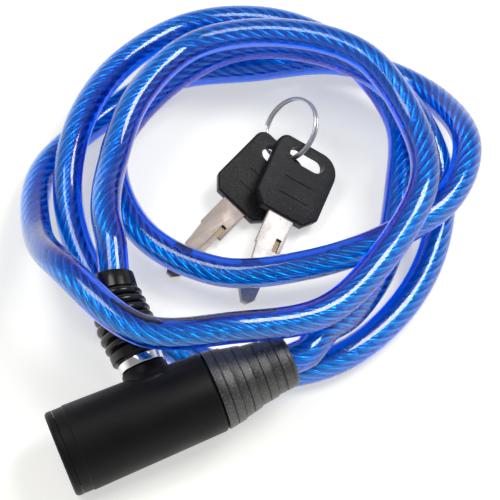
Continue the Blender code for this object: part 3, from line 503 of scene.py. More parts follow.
def slab(name: str, outline: Outline, low: float, high: float) -> bpy.types.Object:
    """Makes a flat piece: a filled ring of points, moved onto the outline and extruded along Z.

    Args:
        name: the piece's name.
        outline: (x, y), once round.
        low: where its underside is.
        high: where its top is.

    Returns:
        The piece.
    """
    bpy.ops.object.select_all(action="DESELECT")
    bpy.ops.mesh.primitive_circle_add(vertices=len(outline), radius=MM, fill_type="NGON")
    piece = bpy.context.object
    piece.name = piece.data.name = name
    for vertex, (x, y) in zip(piece.data.vertices, outline):
        vertex.co = Vector((x, y, low)) * MM
    bpy.ops.object.mode_set(mode="EDIT")
    bpy.ops.mesh.select_all(action="SELECT")
    bpy.ops.mesh.extrude_region_move(
        TRANSFORM_OT_translate={"value": (0.0, 0.0, (high - low) * MM)})
    bpy.ops.mesh.select_all(action="SELECT")
    bpy.ops.mesh.normals_make_consistent(inside=False)
    bpy.ops.object.mode_set(mode="OBJECT")
    return piece


def box_outline(left: float, right: float, low: float, high: float) -> Outline:
    """Returns a rectangle's corners, once round."""
    return [(left, low), (right, low), (right, high), (left, high)]


def arc(x: float, y: float, size: float, start: float, end: float, steps: int) -> Outline:
    """Returns points of a round corner about (x, y), from one angle to another in degrees."""
    turns = [math.radians(start + (end - start) * i / steps) for i in range(steps + 1)]
    return [(x + size * math.cos(a), y + size * math.sin(a)) for a in turns]


def moved(profile: Profile, x: float, y: float) -> Outline:
    """Returns a profile's points from (x, y) on."""
    return [(x + along, y + out) for along, out in profile]


def eased(share: float) -> float:
    """Returns a share from 0 to 1 that leaves 0 and reaches 1 without a kink."""
    return share * share * (3.0 - 2.0 * share)


def smooth_line(points: list[Vector], steps: int) -> list[Vector]:
    """Lays a smooth curve through points, with the same rule as the CAD cable.

    Args:
        points: where the curve passes.
        steps: stretches from each point to the next.

    Returns:
        The points of the curve.
    """
    ends = [points[0] * 2.0 - points[1], *points, points[-1] * 2.0 - points[-2]]
    line = [points[0].copy()]
    for i in range(1, len(ends) - 2):
        p0, p1, p2, p3 = ends[i - 1:i + 3]
        t1 = (p1 - p0).length ** 0.5
        t2 = t1 + (p2 - p1).length ** 0.5
        t3 = t2 + (p3 - p2).length ** 0.5
        for step in range(1, steps + 1):
            t = t1 + (t2 - t1) * step / steps
            a1 = p0 * ((t1 - t) / t1) + p1 * (t / t1)
            a2 = p1 * ((t2 - t) / (t2 - t1)) + p2 * ((t - t1) / (t2 - t1))
            a3 = p2 * ((t3 - t) / (t3 - t2)) + p3 * ((t - t2) / (t3 - t2))
            b1 = a1 * ((t2 - t) / t2) + a2 * (t / t2)
            b2 = a2 * ((t3 - t) / (t3 - t1)) + a3 * ((t - t1) / (t3 - t1))
            line.append(b1 * ((t2 - t) / (t2 - t1)) + b2 * ((t - t1) / (t2 - t1)))
    return line


def even_line(line: list[Vector], spacing: float) -> list[Vector]:
    """Lays evenly spaced points on a line.

    Args:
        line: the points of the line.
        spacing: about how far apart the new points are.

    Returns:
        The new points, with the line's two ends among them.
    """
    lengths = [(b - a).length for a, b in zip(line, line[1:])]
    total = sum(lengths)
    count = max(1, round(total / spacing))
    result, walked, i = [line[0].copy()], 0.0, 0
    for n in range(1, count):
        at = total * n / count
        while walked + lengths[i] < at:
            walked += lengths[i]
            i += 1
        result.append(line[i].lerp(line[i + 1], (at - walked) / lengths[i]))
    return [*result, line[-1].copy()]


def directions(line: list[Vector]) -> list[Vector]:
    """Returns a line's direction at each of its points."""
    last = len(line) - 1
    return [(line[min(i + 1, last)] - line[max(i - 1, 0)]).normalized() for i in range(last + 1)]


def carried_frames(line: list[Vector]) -> list[tuple[Vector, Vector, Vector]]:
    """Carries two directions square to a line along it, with as little turning as possible.

    Args:
        line: the points of the line.

    Returns:
        (place, side, up) at each point.
    """
    ways = directions(line)
    side = ways[0].orthogonal().normalized()
    frames = []
    for place, way in zip(line, ways):
        side = (side - way * side.dot(way)).normalized()
        frames.append((place, side, way.cross(side)))
    return frames


def sweep(name: str, rings: list[list[Vector]]) -> bpy.types.Object:
    """Joins rings of points, each with the same number, into a closed tube.

    Args:
        name: the piece's name.
        rings: the rings in millimetres, in order along the tube.

    Returns:
        The piece.
    """
    sides = len(rings[0])
    faces = [(i * sides + j, i * sides + (j + 1) % sides, (i + 1) * sides + (j + 1) % sides,
              (i + 1) * sides + j) for i in range(len(rings) - 1) for j in range(sides)]
    last = (len(rings) - 1) * sides
    faces += [tuple(reversed(range(sides))), tuple(range(last, last + sides))]
    mesh = bpy.data.meshes.new(name)
    mesh.from_pydata([p * MM for ring in rings for p in ring], [], faces)
    mesh.update()
    piece = bpy.data.objects.new(name, mesh)
    bpy.context.scene.collection.objects.link(piece)
    return piece


def round_tube(name: str, line: list[Vector], radius: float, sides: int) -> bpy.types.Object:
    """Makes a round tube.

    Args:
        name: the piece's name.
        line: its middle line in millimetres.
        radius: its radius.
        sides: its sides.

    Returns:
        The piece.
    """
    turns = [FULL_TURN * j / sides for j in range(sides)]
    rings = [[place + (side * math.cos(a) + up * math.sin(a)) * radius for a in turns]
             for place, side, up in carried_frames(line)]
    return sweep(name, rings)


# The lock head


@dataclass
class LockHead:
    """The keyed head on the cable: its frame, its moulded casing and the finishes inside it.

    Places along the head count from the seam between the cap and the sleeve.
    """

    place: Point = (-39.3, -60.3, 13.95)
    turn: Point = (13.0, -4.5, 22.9)
    sides: int = 160
    edge: float = 0.15
    edge_steps: int = 4
    seam: float = 0.04

    sleeve_end: float = 49.0
    sleeve_bore: float = 11.55
    band_end: float = 3.25
    band_radius: float = 13.75
    band_step: float = 0.3
    key_radius: float = 14.0
    cable_radius: float = 13.0
    rear_chamfer: Profile = ((-1.0, 0.03), (-0.8, -0.03), (-0.15, -0.55), (0.0, -0.75))
    past_end: float = 2.0

    socket_x: float = 31.6
    socket_floor: float = 6.0
    socket_bore: float = 4.55
    collar_top: float = 15.3
    collar_radius: float = 7.45
    collar_foot: float = 9.4
    collar_flare: float = 3.0
    collar_edge: float = 0.5
    collar_edge_steps: int = 5
    flare_power: float = 2.4
    flare_steps: int = 14

    cap_face: float = -2.55
    cap_radius: float = 13.8
    cap_rounding: float = 1.3
    cap_steps: int = 12
    cap_bore: float = 8.15
    cap_spigot: float = 2.3
    spigot_gap: float = 0.3

    relief_sides: int = 128
    relief_front: float = 49.3
    relief_rear: float = 75.2
    relief_end: float = 73.6
    relief_radii: tuple[float, ...] = (12.9, 11.6, 10.0, 8.9, 8.1)
    relief_step: float = 0.4
    relief_bore: float = 5.3
    relief_tail: float = 0.1
    relief_rounding: float = 1.0
    relief_rounding_steps: int = 8
    step_front: Profile = ((0.02, -0.25), (0.10, -0.07), (0.30, 0.0))
    step_groove: Profile = ((0.46, 0.08), (0.49, -0.28), (0.51, -0.28), (0.54, 0.02))
    step_rear: Profile = ((-0.30, 0.03), (-0.10, -0.05), (-0.02, -0.22))
    step_root: float = 0.25

    inside: tuple[tuple[Metal, tuple[str, ...]], ...] = (
        (ZINC, ("core_body",)),
        (TURNED_BRASS, ("cylinder_shell", "cylinder_plug")),
        (MILLED_BRASS, ("wafer_1", "wafer_2", "wafer_3", "wafer_4", "wafer_5")),
        (DRAWN_STEEL, ("plug_clip", "cylinder_pin", "latch", "cable_anchor", "cable_head_end",
                       "cable_bolt_end")),
        (RING_STEEL, ("latch_spring", "ejector_spring")))

    @property
    def frame(self) -> Matrix:
        """The head's frame in metres: +X towards the cable, +Y out of the bolt's socket."""
        return frame_at(self.place, self.turn)

    @property
    def along(self) -> Matrix:
        """A frame with its Z along the head's own X, in metres."""
        return self.frame @ Matrix.Rotation(math.radians(90.0), 4, "Y")

    @property
    def socket_frame(self) -> Matrix:
        """A frame with its Z out of the bolt's socket, in metres."""
        across = Matrix.Rotation(math.radians(-90.0), 4, "X")
        return self.frame @ Matrix.Translation((self.socket_x * MM, 0.0, 0.0)) @ across

    def to_row(self, x: float, y: float, z: float) -> Vector:
        """Returns a point of the head's frame in the row frame, in millimetres."""
        return self.frame @ (Vector((x, y, z)) * MM) / MM

    def collar_outline(self) -> Outline:
        """Draws the socket collar's side, which flares into the sleeve in one sweep.

        Returns:
            The outline, from inside the sleeve to the collar's top.
        """
        edge = self.collar_edge
        run = self.collar_top - edge - self.collar_foot
        outline = [(0.0, self.collar_radius + self.collar_flare)]
        for i in range(self.flare_steps + 1):
            share = i / self.flare_steps
            flare = self.collar_flare * (1.0 - share) ** self.flare_power
            outline.append((self.collar_foot + run * share, self.collar_radius + flare))
        return outline + arc(self.collar_top - edge, self.collar_radius - edge, edge, 90.0, 0.0,
                             self.collar_edge_steps)[1:]

    def sleeve_outline(self) -> Outline:
        """Draws the sleeve's wall: its band, its taper, its rear chamfer and its bore.

        Returns:
            The outline, once round.
        """
        rim = self.band_radius - self.edge
        outline = [(self.seam, self.sleeve_bore), (self.seam, rim)]
        outline += arc(self.seam + self.edge, rim, self.edge, 180.0, 90.0, self.edge_steps)[1:]
        outline += [(self.band_end, self.band_radius),
                    (self.band_end + self.band_step, self.key_radius)]
        outline += moved(self.rear_chamfer, self.sleeve_end, self.cable_radius)
        return [*outline, (self.sleeve_end, self.sleeve_bore), outline[0]]

    def build_sleeve(self) -> bpy.types.Object:
        """Makes the tapered sleeve, joins the socket's collar on and bores both.

        Returns:
            The piece.
        """
        outline = self.sleeve_outline()
        sleeve = place_at(turn_outline("moulded_sleeve", outline, self.sides), self.along)
        collar = place_at(turn_outline("collar", self.collar_outline()), self.socket_frame)
        cut(sleeve, collar, join=True)
        past = self.past_end
        for name, frame, low, high, radius in (
                ("bore", self.along, -past, self.sleeve_end + past, self.sleeve_bore),
                ("socket", self.socket_frame, self.socket_floor, self.collar_top + past,
                 self.socket_bore)):
            cut(sleeve, place_at(turn_outline(name, [(low, radius), (high, radius)]), frame))
        smooth(sleeve, angle=35.0)
        return sleeve

    def build_cap(self) -> bpy.types.Object:
        """Turns the end cap, with its rounded rim and a fine seam to the sleeve.

        Returns:
            The piece.
        """
        edge, rounding, spigot = self.edge, self.cap_rounding, self.sleeve_bore - self.spigot_gap
        outline = [(self.cap_face, self.cap_bore)]
        outline += arc(self.cap_face + rounding, self.cap_radius - rounding, rounding, 180.0,
                       90.0, self.cap_steps)
        outline += arc(-self.seam - edge, self.cap_radius - edge, edge, 90.0, 0.0,
                       self.edge_steps)
        outline += [(-self.seam, spigot), (self.cap_spigot, spigot),
                    (self.cap_spigot, self.cap_bore), outline[0]]
        return place_at(turn_outline("moulded_cap", outline, self.sides), self.along)

    def relief_outline(self) -> Outline:
        """Draws the stepped cone, with a thin groove across each step and soft edges.

        Returns:
            The outline of its outer side.
        """
        pitch = (self.relief_end - self.relief_front) / (len(self.relief_radii) - 1)
        outline = []
        for i, (start, after) in enumerate(zip(self.relief_radii, self.relief_radii[1:])):
            x, end = self.relief_front + pitch * i, after + self.relief_step
            middle = (start + end) / 2.0
            outline += moved(self.step_front, x, start)
            outline += [(x + pitch * share, middle + out) for share, out in self.step_groove]
            outline += moved(self.step_rear, x + pitch, end)
            outline.append((x + pitch, after - self.step_root))
        return outline

    def build_relief(self) -> bpy.types.Object:
        """Turns the strain relief.

        Returns:
            The piece.
        """
        rounding, radius = self.relief_rounding, self.relief_radii[-1]
        outline = [(self.relief_front, self.relief_bore), *self.relief_outline(),
                   (self.relief_end + self.relief_tail, radius)]
        outline += arc(self.relief_rear - rounding, radius - rounding, rounding, 90.0, 0.0,
                       self.relief_rounding_steps)
        outline += [(self.relief_rear, self.relief_bore), outline[0]]
        relief = turn_outline("stepped_strain_relief", outline, self.relief_sides)
        smooth(place_at(relief, self.along), angle=40.0)
        return relief

    def dress_inside(self, nodes: dict[str, bpy.types.Object]) -> None:
        """Gives the CAD nodes that stay their finishes.

        Args:
            nodes: the CAD nodes by name.
        """
        for finish, names in self.inside:
            material = finish.material()
            for name in names:
                dress(nodes[name], material)

    def build(self) -> None:
        """Makes the sleeve, the end cap and the strain relief, and dresses them."""
        black = BLACK_PLASTIC.material()
        seat(dress(self.build_sleeve(), black), Body.HEAD, "housing_sleeve")
        seat(dress(self.build_cap(), black), Body.HEAD, "end_cap")
        seat(dress(self.build_relief(), RELIEF_PLASTIC.material()), Body.HEAD,
             "strain_relief")


@dataclass
class BoltAndBoot:
    """The plated bolt with its flange, and the ribbed rubber boot that leans towards the cable.

    Places count along the bolt, from the head's axis outwards.
    """

    head: LockHead
    bolt_sides: int = 128
    bolt_radius: float = 4.25
    tip_y: float = -6.9
    tip: Profile = ((0.0, -1.6), (0.2, -1.3), (1.5, 0.0))
    groove: Span = (-4.5, 1.4)
    groove_depth: float = 0.85
    flange: Span = (15.6, 18.8)
    flange_radius: float = 7.4
    flange_edge: float = 0.45
    flange_face: float = 0.3
    crimp_end: float = 28.3
    crimp_radius: float = 6.1
    crimp_bore: float = 3.7
    crimp_floor: float = 1.0
    edge_steps: int = 5

    base_y: float = 19.1
    base_radius: float = 8.7
    base_length: float = 3.9
    base_rounding: float = 0.8
    base_waist: float = 0.7
    rib_radii: tuple[float, ...] = (9.2, 9.5, 9.5, 9.2, 8.7, 8.0)
    rib_pitch: float = 3.15
    rib_depth: float = 1.3
    rib_power: float = 0.6
    rib_steps: int = 10
    neck_radius: float = 7.0
    neck: Profile = ((0.0, -0.4), (0.5, 0.0), (3.0, -0.3))
    mouth_radius: float = 6.3
    mouth_y: float = 47.8
    lip: Profile = ((-0.5, 0.0), (-0.15, -0.15), (0.0, -0.5))
    bore: float = 5.3
    bore_start: float = 2.0
    bore_rings: int = 8
    crimp_gap: float = 0.3
    crimp_room: float = 0.5
    bend: float = 3.0

    @property
    def socket_x(self) -> float:
        """Where the bolt's axis crosses the head's."""
        return self.head.socket_x

    def lean(self, y: float) -> Span:
        """Measures how the boot leans.

        Args:
            y: a place along the straight boot.

        Returns:
            How far its middle has moved sideways there, and its slope in radians.
        """
        run = self.mouth_y - self.crimp_end
        share = max(0.0, y - self.crimp_end) / run
        return self.bend * share ** 2, math.atan(2.0 * self.bend * share / run)

    def bent(self, x: float, y: float, z: float) -> Vector:
        """Bends a point of the straight boot, in the head's frame.

        Args:
            x: its place along the head.
            y: its place along the boot.
            z: its height in the head's frame.

        Returns:
            Where the bend puts it.
        """
        shift, slope = self.lean(y)
        out = x - self.socket_x
        return Vector((self.socket_x + shift + out * math.cos(slope),
                       y - out * math.sin(slope), z))

    def mouth(self) -> tuple[Vector, Vector]:
        """Finds the boot's mouth in the row frame.

        Returns:
            Its middle, and its direction outwards.
        """
        shift, slope = self.lean(self.mouth_y)
        middle = self.head.to_row(self.socket_x + shift, self.mouth_y, 0.0)
        turn = self.head.frame.to_3x3()
        return middle, (turn @ Vector((math.sin(slope), math.cos(slope), 0.0))).normalized()

    def build_bolt(self) -> bpy.types.Object:
        """Turns the bolt, its groove, its rounded flange and its crimp sleeve.

        Returns:
            The piece.
        """
        r, edge = self.bolt_radius, self.flange_edge
        front, rear = self.flange
        rim = self.flange_radius - edge
        low, high = self.groove
        outline = moved(self.tip, self.tip_y, r)
        outline += [(low, r), (low, r - self.groove_depth), (high, r - self.groove_depth),
                    (high, r), (front, r), (front, rim - self.flange_face)]
        outline += arc(front + edge, rim, edge, 180.0, 90.0, self.edge_steps)
        outline += arc(rear - edge, rim, edge, 90.0, 0.0, self.edge_steps)
        outline += [(rear, self.crimp_radius), (self.crimp_end, self.crimp_radius),
                    (self.crimp_end, self.crimp_bore), (rear + self.crimp_floor, self.crimp_bore)]
        bolt = turn_outline("plated_bolt", outline, self.bolt_sides)
        return place_at(bolt, self.head.socket_frame)

    def rib_outline(self, start: float) -> Outline:
        """Draws the ribs: full rounds with a sharp valley before each.

        Args:
            start: where the first one begins.

        Returns:
            The outline of their outer side.
        """
        outline = []
        for i, radius in enumerate(self.rib_radii):
            for step in range(self.rib_steps):
                share = step / self.rib_steps
                depth = self.rib_depth * (1.0 - math.sin(math.pi * share) ** self.rib_power)
                outline.append((start + self.rib_pitch * (i + share), radius - depth))
        return outline

    def boot_outline(self) -> Outline:
        """Draws the boot's outer side and its bore.

        Returns:
            The outline, once round.
        """
        start, rounding = self.base_y + self.base_length, self.base_rounding
        crimp = self.crimp_radius + self.crimp_gap
        outline = [(self.base_y, crimp), (self.base_y, self.base_radius - rounding)]
        outline += arc(self.base_y + rounding, self.base_radius - rounding, rounding, 180.0, 90.0,
                       self.edge_steps)[1:]
        outline += [(start - self.base_waist, self.base_radius), *self.rib_outline(start)]
        outline += moved(self.neck, start + self.rib_pitch * len(self.rib_radii),
                         self.neck_radius)
        outline += moved(self.lip, self.mouth_y, self.mouth_radius)
        depth, rings = self.mouth_y - (self.crimp_end + self.bore_start), self.bore_rings
        outline += [(self.mouth_y - depth * i / rings, self.bore) for i in range(rings + 1)]
        return [*outline, (self.crimp_end + self.crimp_room, crimp), outline[0]]

    def build_boot(self) -> bpy.types.Object:
        """Turns the boot, then bends it past the crimp.

        Returns:
            The piece.
        """
        boot = turn_outline("ribbed_boot", self.boot_outline())
        for vertex in boot.data.vertices:
            x, y, along = vertex.co / MM
            vertex.co = self.bent(self.socket_x + x, along, -y) * MM
        smooth(place_at(boot, self.head.frame), angle=50.0)
        return boot

    def build(self) -> None:
        """Makes the bolt and the boot, and dresses them."""
        seat(dress(self.build_bolt(), CHROME.material()), Body.BOLT, "locking_bolt")
        seat(dress(self.build_boot(), RUBBER.material()), Body.BOLT, "bolt_boot")


# The cable


@dataclass
class Cable:
    """The jacketed steel rope, from inside the strain relief round its turns to the boot."""

    head: LockHead
    boot: BoltAndBoot
    radius: float = 5.0
    jacket_sides: int = 44
    jacket_spacing: float = 1.6

    strands: int = 6
    strand_radius: float = 0.88
    strand_circle: float = 1.78
    lay: float = 27.0
    wires: int = 8
    wire_lay: float = -20.0
    wire_depth: float = 0.13
    rope_spacing: float = 1.6
    core_radius: float = 1.92
    core_sides: int = 20
    core_stride: int = 3
    pressed_out: float = 0.55
    press_run: float = 25.0

    middle: Point = (17.0, 40.0, 0.0)
    curve_steps: int = 40
    end_gap: float = 0.3
    hidden: float = 4.0
    follow: float = 170.0
    follow_from: int = 240
    route: tuple[Point, ...] = (
        (41, -20, 19.5), (49, -12, 15.5), (62, 13, 6), (68, 41, 7), (69, 71, 8), (52, 93, 16.5),
        (27, 109, 15.5), (-3, 111, 12), (-28, 92, 14), (-42, 61, 18), (-44, 30, 14.5),
        (-33, 2, 10), (-14, -15, 6), (15, -28, 5), (44, -24, 6), (67, -4, 5.5), (80, 23, 6.5),
        (81, 50, 13.5), (65, 75, 23), (40, 90, 23.5), (11, 94, 19), (-13, 81, 15),
        (-30, 54, 11.5), (-20, 23, 11), (6, 6, 12.5), (35, 6, 16), (64, 15, 20), (84, 31, 20.5),
        (91, 54, 19), (78, 86, 6), (50, 99, 5.5), (18, 95, 7), (-11, 91, 6.5), (-34, 75, 5.5),
        (-54, 49, 8.5), (-53, 16, 20.5), (-40, -10, 38.5), (-16, -31, 38.5), (12, -29, 36.5),
        (40, -20, 30.5), (58, -1, 28.5), (74, 28, 32), (72, 53, 30), (56, 78, 35), (29, 89, 34),
        (-2, 89, 27.5), (-21, 67, 27.5), (-29, 40, 25.5), (-30, 19, 29.5))

    def middle_line(self) -> list[Vector]:
        """Lays the free cable's middle line, with a hidden stretch at each end.

        Returns:
            Its points, from the strain relief to the boot.
        """
        start = self.head.to_row(self.head.relief_rear + self.end_gap, 0.0, 0.0)
        out = (self.head.frame.to_3x3() @ Vector((1.0, 0.0, 0.0))).normalized()
        mouth, way = self.boot.mouth()
        steps = self.curve_steps
        ends = [mouth + way * (self.end_gap + 2.0 * self.radius), mouth + way * self.end_gap]
        points = [start, start + out * self.radius, *map(Vector, self.route), *ends]
        line = smooth_line(points, steps)[steps:-steps]
        return [start - out * self.hidden, start, *line, ends[-1], ends[-1] - way * self.hidden]

    def build_jacket(self, line: list[Vector]) -> bpy.types.Object:
        """Makes the jacket's tube.

        Args:
            line: its middle line.

        Returns:
            The piece.
        """
        jacket = round_tube("cable_jacket", line, self.radius, self.jacket_sides)
        self.note_shares(jacket, line)
        smooth(jacket, angle=60.0)
        return jacket

    def rope_line(self, line: list[Vector]) -> list[Vector]:
        """Presses the rope to the jacket's outer side, as each turn of the coil does.

        Args:
            line: the cable's middle line.

        Returns:
            The rope's middle line.
        """
        pressed = []
        last = len(line) - 1
        for i, (place, way) in enumerate(zip(line, directions(line))):
            out = place - Vector(self.middle)
            out.z = 0.0
            out -= way * out.dot(way)
            left = min(i, last - i) * self.rope_spacing
            share = min(1.0, left / self.press_run)
            pressed.append(place + out.normalized() * (self.pressed_out * eased(share)))
        return pressed

    def wire_ring(self, centre: Vector, out: Vector, across: Vector, twist: float) -> list[Vector]:
        """Returns a strand's outline, with a ridge for each of its wires.

        Args:
            centre: the strand's middle.
            out: a direction square to the strand.
            across: the other one.
            twist: how far the wires have turned, in radians.

        Returns:
            The points, once round.
        """
        ring = []
        corners = 2 * self.wires
        for j in range(corners):
            angle = FULL_TURN * j / corners + twist
            radius = self.strand_radius - (j % 2) * self.wire_depth
            ring.append(centre + (out * math.cos(angle) + across * math.sin(angle)) * radius)
        return ring

    def build_strand(self, number: int, line: list[Vector]) -> bpy.types.Object:
        """Lays one twisted strand.

        Args:
            number: the strand's number, from 0 up.
            line: the rope's middle line.

        Returns:
            The strand.
        """
        step = (line[1] - line[0]).length
        rings = []
        for i, (place, side, up) in enumerate(carried_frames(line)):
            turn = FULL_TURN * (number / self.strands + i * step / self.lay)
            twist = FULL_TURN * i * step / self.wire_lay
            out = side * math.cos(turn) + up * math.sin(turn)
            across = up * math.cos(turn) - side * math.sin(turn)
            rings.append(self.wire_ring(place + out * self.strand_circle, out, across, twist))
        return sweep(f"strand_{number}", rings)

    def build_rope(self, line: list[Vector]) -> bpy.types.Object:
        """Lays the strands round a core and joins them.

        Args:
            line: the rope's middle line.

        Returns:
            The piece.
        """
        core_line = line[::self.core_stride]
        strands = [self.build_strand(number, line) for number in range(self.strands)]
        for strand in strands:
            self.note_shares(strand, line)
        strands.append(round_tube("core_strand", core_line, self.core_radius, self.core_sides))
        self.note_shares(strands[-1], core_line)
        select_only(strands[0])
        for strand in strands[1:]:
            strand.select_set(True)
        bpy.ops.object.join()
        rope = bpy.context.object
        rope.name = rope.data.name = "cable_rope"
        smooth(rope, angle=70.0)
        return rope

    def note_shares(self, tube: bpy.types.Object, line: list[Vector]) -> None:
        """Notes on a tube's points what share of the bolt's travel they take, from none to all.

        Args:
            tube: a tube, with the same number of points round each point of the line.
            line: the points that it was swept along.
        """
        left = [0.0]
        for near, far in zip(reversed(line[1:]), reversed(line[:-1])):
            left.append(left[-1] + (far - near).length)
        sides = len(tube.data.vertices) // len(line)
        shares = []
        for rest in reversed(left):
            shares += [eased(max(0.0, 1.0 - rest / self.follow))] * sides
        tube.data.attributes.new("share", "FLOAT", "POINT").data.foreach_set("value", shares)

    def let_end_follow(self, piece: bpy.types.Object, line: list[Vector]) -> None:
        """Lets the last stretch of a piece follow the bolt, by the shares noted on it.

        Args:
            piece: the jacket or the rope.
            line: the cable's middle line.
        """
        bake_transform(piece, Body.HEAD.value, Body.BOLT.value,
                 start=tuple(line[-self.follow_from] * MM), end=tuple(line[-1] * MM))
        attributes = piece.data.attributes
        shares = [0.0] * len(piece.data.vertices)
        attributes["share"].data.foreach_get("value", shares)
        attributes["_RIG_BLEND"].data.foreach_set("value", shares)
        attributes.remove(attributes["share"])

    def build(self) -> None:
        fine = self.middle_line()
        jacket_line = even_line(fine, self.jacket_spacing)
        rope_line = even_line(fine, self.rope_spacing)
        jacket = dress(self.build_jacket(jacket_line), JACKET.material())
        rope = dress(self.build_rope(self.rope_line(rope_line)), ROPE_STEEL.material())
        for piece, slot in ((jacket, Slot.JACKET), (rope, Slot.STEEL)):
            self.let_end_follow(piece, fine)
            LOG.info("%s follows the bolt at its end", piece.name)
        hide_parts("cable")


# Keys and ring


@dataclass
class FlatKey:
    """A flat key: a black bow with a long ring hole, and a nickelled blade with a milled ledge.

    Its sizes count from the middle of the ring hole, with +X towards the blade's tip.
    """

    number: int
    place: Point
    turn: Point
    body: Body
    plating: Metal

    width: float = 24.0
    thickness: float = 4.5
    above_hole: float = 5.2
    below_hole: float = 22.6
    small_corner: float = 3.5
    large_corner: float = 7.5
    cut_corner: float = 5.0
    cut_share: float = 0.8
    cut_rounding: float = 1.5
    cut_turn: float = 39.0
    corner_steps: tuple[int, int, int] = (8, 3, 14)
    bow_edge: float = 0.9
    hole_radius: float = 3.0
    hole_reach: float = 3.75
    hole_steps: int = 16
    grooves_x: Span = (9.0, 15.1)
    groove_half: float = 0.2
    groove_y: Span = (-5.0, 6.5)
    groove_depth: float = 0.3
    gap: float = 0.3
    past: float = 1.0

    tang: float = 12.2
    blade: float = 33.6
    blade_thickness: float = 2.2
    blade_edge: float = 0.18
    half_width: float = 3.45
    shoulder: float = 4.75
    shoulder_length: float = 12.0
    shoulder_fillet: Span = (6.5, 0.8)
    stop: float = 0.3
    bitting: Span = (9.0, 13.4)
    bite: Profile = ((0.0, 0.0), (0.9, 0.7), (1.9, 0.7), (2.8, 0.0))
    bitted_tip: Span = (4.4, 2.8)
    plain_tip: Span = (2.6, 2.1)
    ledge: Point = (7.9, 1.55, 1.1)
    ledge_past: float = 0.5
    slot_overlap: float = 0.2
    slot_depth: float = 0.05

    @property
    def frame(self) -> Matrix:
        """The key's frame in metres: its origin is in the ring hole, and +X to the tip."""
        return frame_at(self.place, self.turn)

    def bow_outline(self) -> Outline:
        """Draws the bow: round corners at the ring, cut corners at the blade.

        Returns:
            The outline, once round.
        """
        half, top, bottom = self.width / 2.0, -self.above_hole, self.below_hole
        small, large, rounding = self.small_corner, self.large_corner, self.cut_rounding
        waist = half - self.cut_corner * self.cut_share
        small_steps, cut_steps, large_steps = self.corner_steps
        outline = arc(top + small, -half + small, small, 180.0, 270.0, small_steps)
        outline += arc(bottom - self.cut_corner, -half + rounding, rounding, 270.0,
                       270.0 + self.cut_turn, cut_steps)
        outline += [(bottom, -waist), (bottom, waist)]
        outline += arc(bottom - self.cut_corner, half - rounding, rounding,
                       90.0 - self.cut_turn, 90.0, cut_steps)
        return outline + arc(top + large, half - large, large, 90.0, 180.0, large_steps)

    def build_bow(self) -> bpy.types.Object:
        """Makes the bow with soft edges, its ring hole, the blade's pocket and two grooves.

        Returns:
            The piece.
        """
        half, past, radius = self.thickness / 2.0, self.past, self.hole_radius
        bow = slab(f"key_{self.number}_moulded_bow", self.bow_outline(), -half, half)
        apply_modifier(bow, "BEVEL", width=self.bow_edge * MM, segments=4, limit_method="ANGLE",
                       angle_limit=math.radians(50.0))
        hole = arc(0.0, self.hole_reach, radius, 0.0, 180.0, self.hole_steps)
        hole += arc(0.0, -self.hole_reach, radius, 180.0, 360.0, self.hole_steps)
        cut(bow, slab("ring_hole", hole, -half - past, half + past))
        room, side = self.blade_thickness / 2.0 + self.gap, self.shoulder + self.gap
        pocket = box_outline(self.below_hole - self.tang - self.gap, self.below_hole + past,
                             -side, side)
        cut(bow, slab("tang_pocket", pocket, -room, room))
        for x in self.grooves_x:
            groove = box_outline(x - self.groove_half, x + self.groove_half, *self.groove_y)
            cut(bow, slab("groove", groove, half - self.groove_depth, half + past))
        smooth(bow, angle=30.0)
        return place_at(bow, self.frame)

    def blade_outline(self) -> Outline:
        """Draws the blade, from the tang to the tip and back.

        Returns:
            The outline, once round.
        """
        root = self.below_hole
        tang, stop, tip = root - self.tang, root + self.shoulder_length, root + self.blade
        w, s = self.half_width, self.shoulder
        run, rise = self.shoulder_fillet
        outline = [(tang, -s), (stop, -s), (stop, -w - rise), (stop + run, -w)]
        for start in self.bitting:
            outline += moved(self.bite, stop + start, -w)
        back, across = self.bitted_tip
        outline += [(tip - back, -w), (tip, -w + across)]
        back, across = self.plain_tip
        outline += [(tip, w - across), (tip - back, w)]
        return outline + [(stop + self.stop, w), (stop + self.stop, s), (tang, s)]

    def build_blade(self, milled: bpy.types.Material) -> bpy.types.Object:
        """Makes the blade and mills its ledge, with a dark brass patch beside the shoulder as painted shade.

        Args:
            milled: the dark patch's material.

        Returns:
            The piece, with its first material still open.
        """
        thick = self.blade_thickness / 2.0
        blade = slab(f"key_{self.number}_plated_blade", self.blade_outline(), -thick, thick)
        apply_modifier(blade, "BEVEL", width=self.blade_edge * MM, segments=2,
                       limit_method="ANGLE", angle_limit=math.radians(40.0))
        blade.data.materials.append(None)
        slot, inner, depth = self.ledge
        stop = self.below_hole + self.shoulder_length + self.stop
        floor, high = thick - depth, thick + self.past
        plated = box_outline(stop, self.below_hole + self.blade + self.past, inner,
                             self.half_width + self.ledge_past)
        cut(blade, slab("ledge", plated, floor, high))
        # A dark brass patch on the ledge's floor beside the shoulder: painted shade of the ledge's wall.
        dark_patch = box_outline(self.below_hole + slot, stop + self.slot_overlap, inner,
                           self.half_width)
        tool = slab("slot", dark_patch, floor - self.slot_depth, high)
        tool.data.materials.append(milled)
        cut(blade, tool)
        smooth(blade, angle=30.0)
        return place_at(blade, self.frame)

    def build(self, bow_plastic: bpy.types.Material, milled: bpy.types.Material) -> None:
        """Makes the bow and the blade, and dresses them.

        Args:
            bow_plastic: the bow's material.
            milled: the material of the blade's dark patch.
        """
        seat(dress(self.build_bow(), bow_plastic), self.body,
             f"key_{self.number}_bow")
        blade = self.build_blade(milled)
        blade.data.materials[0] = self.plating.material()
        seat(blade, self.body, f"key_{self.number}_blade")


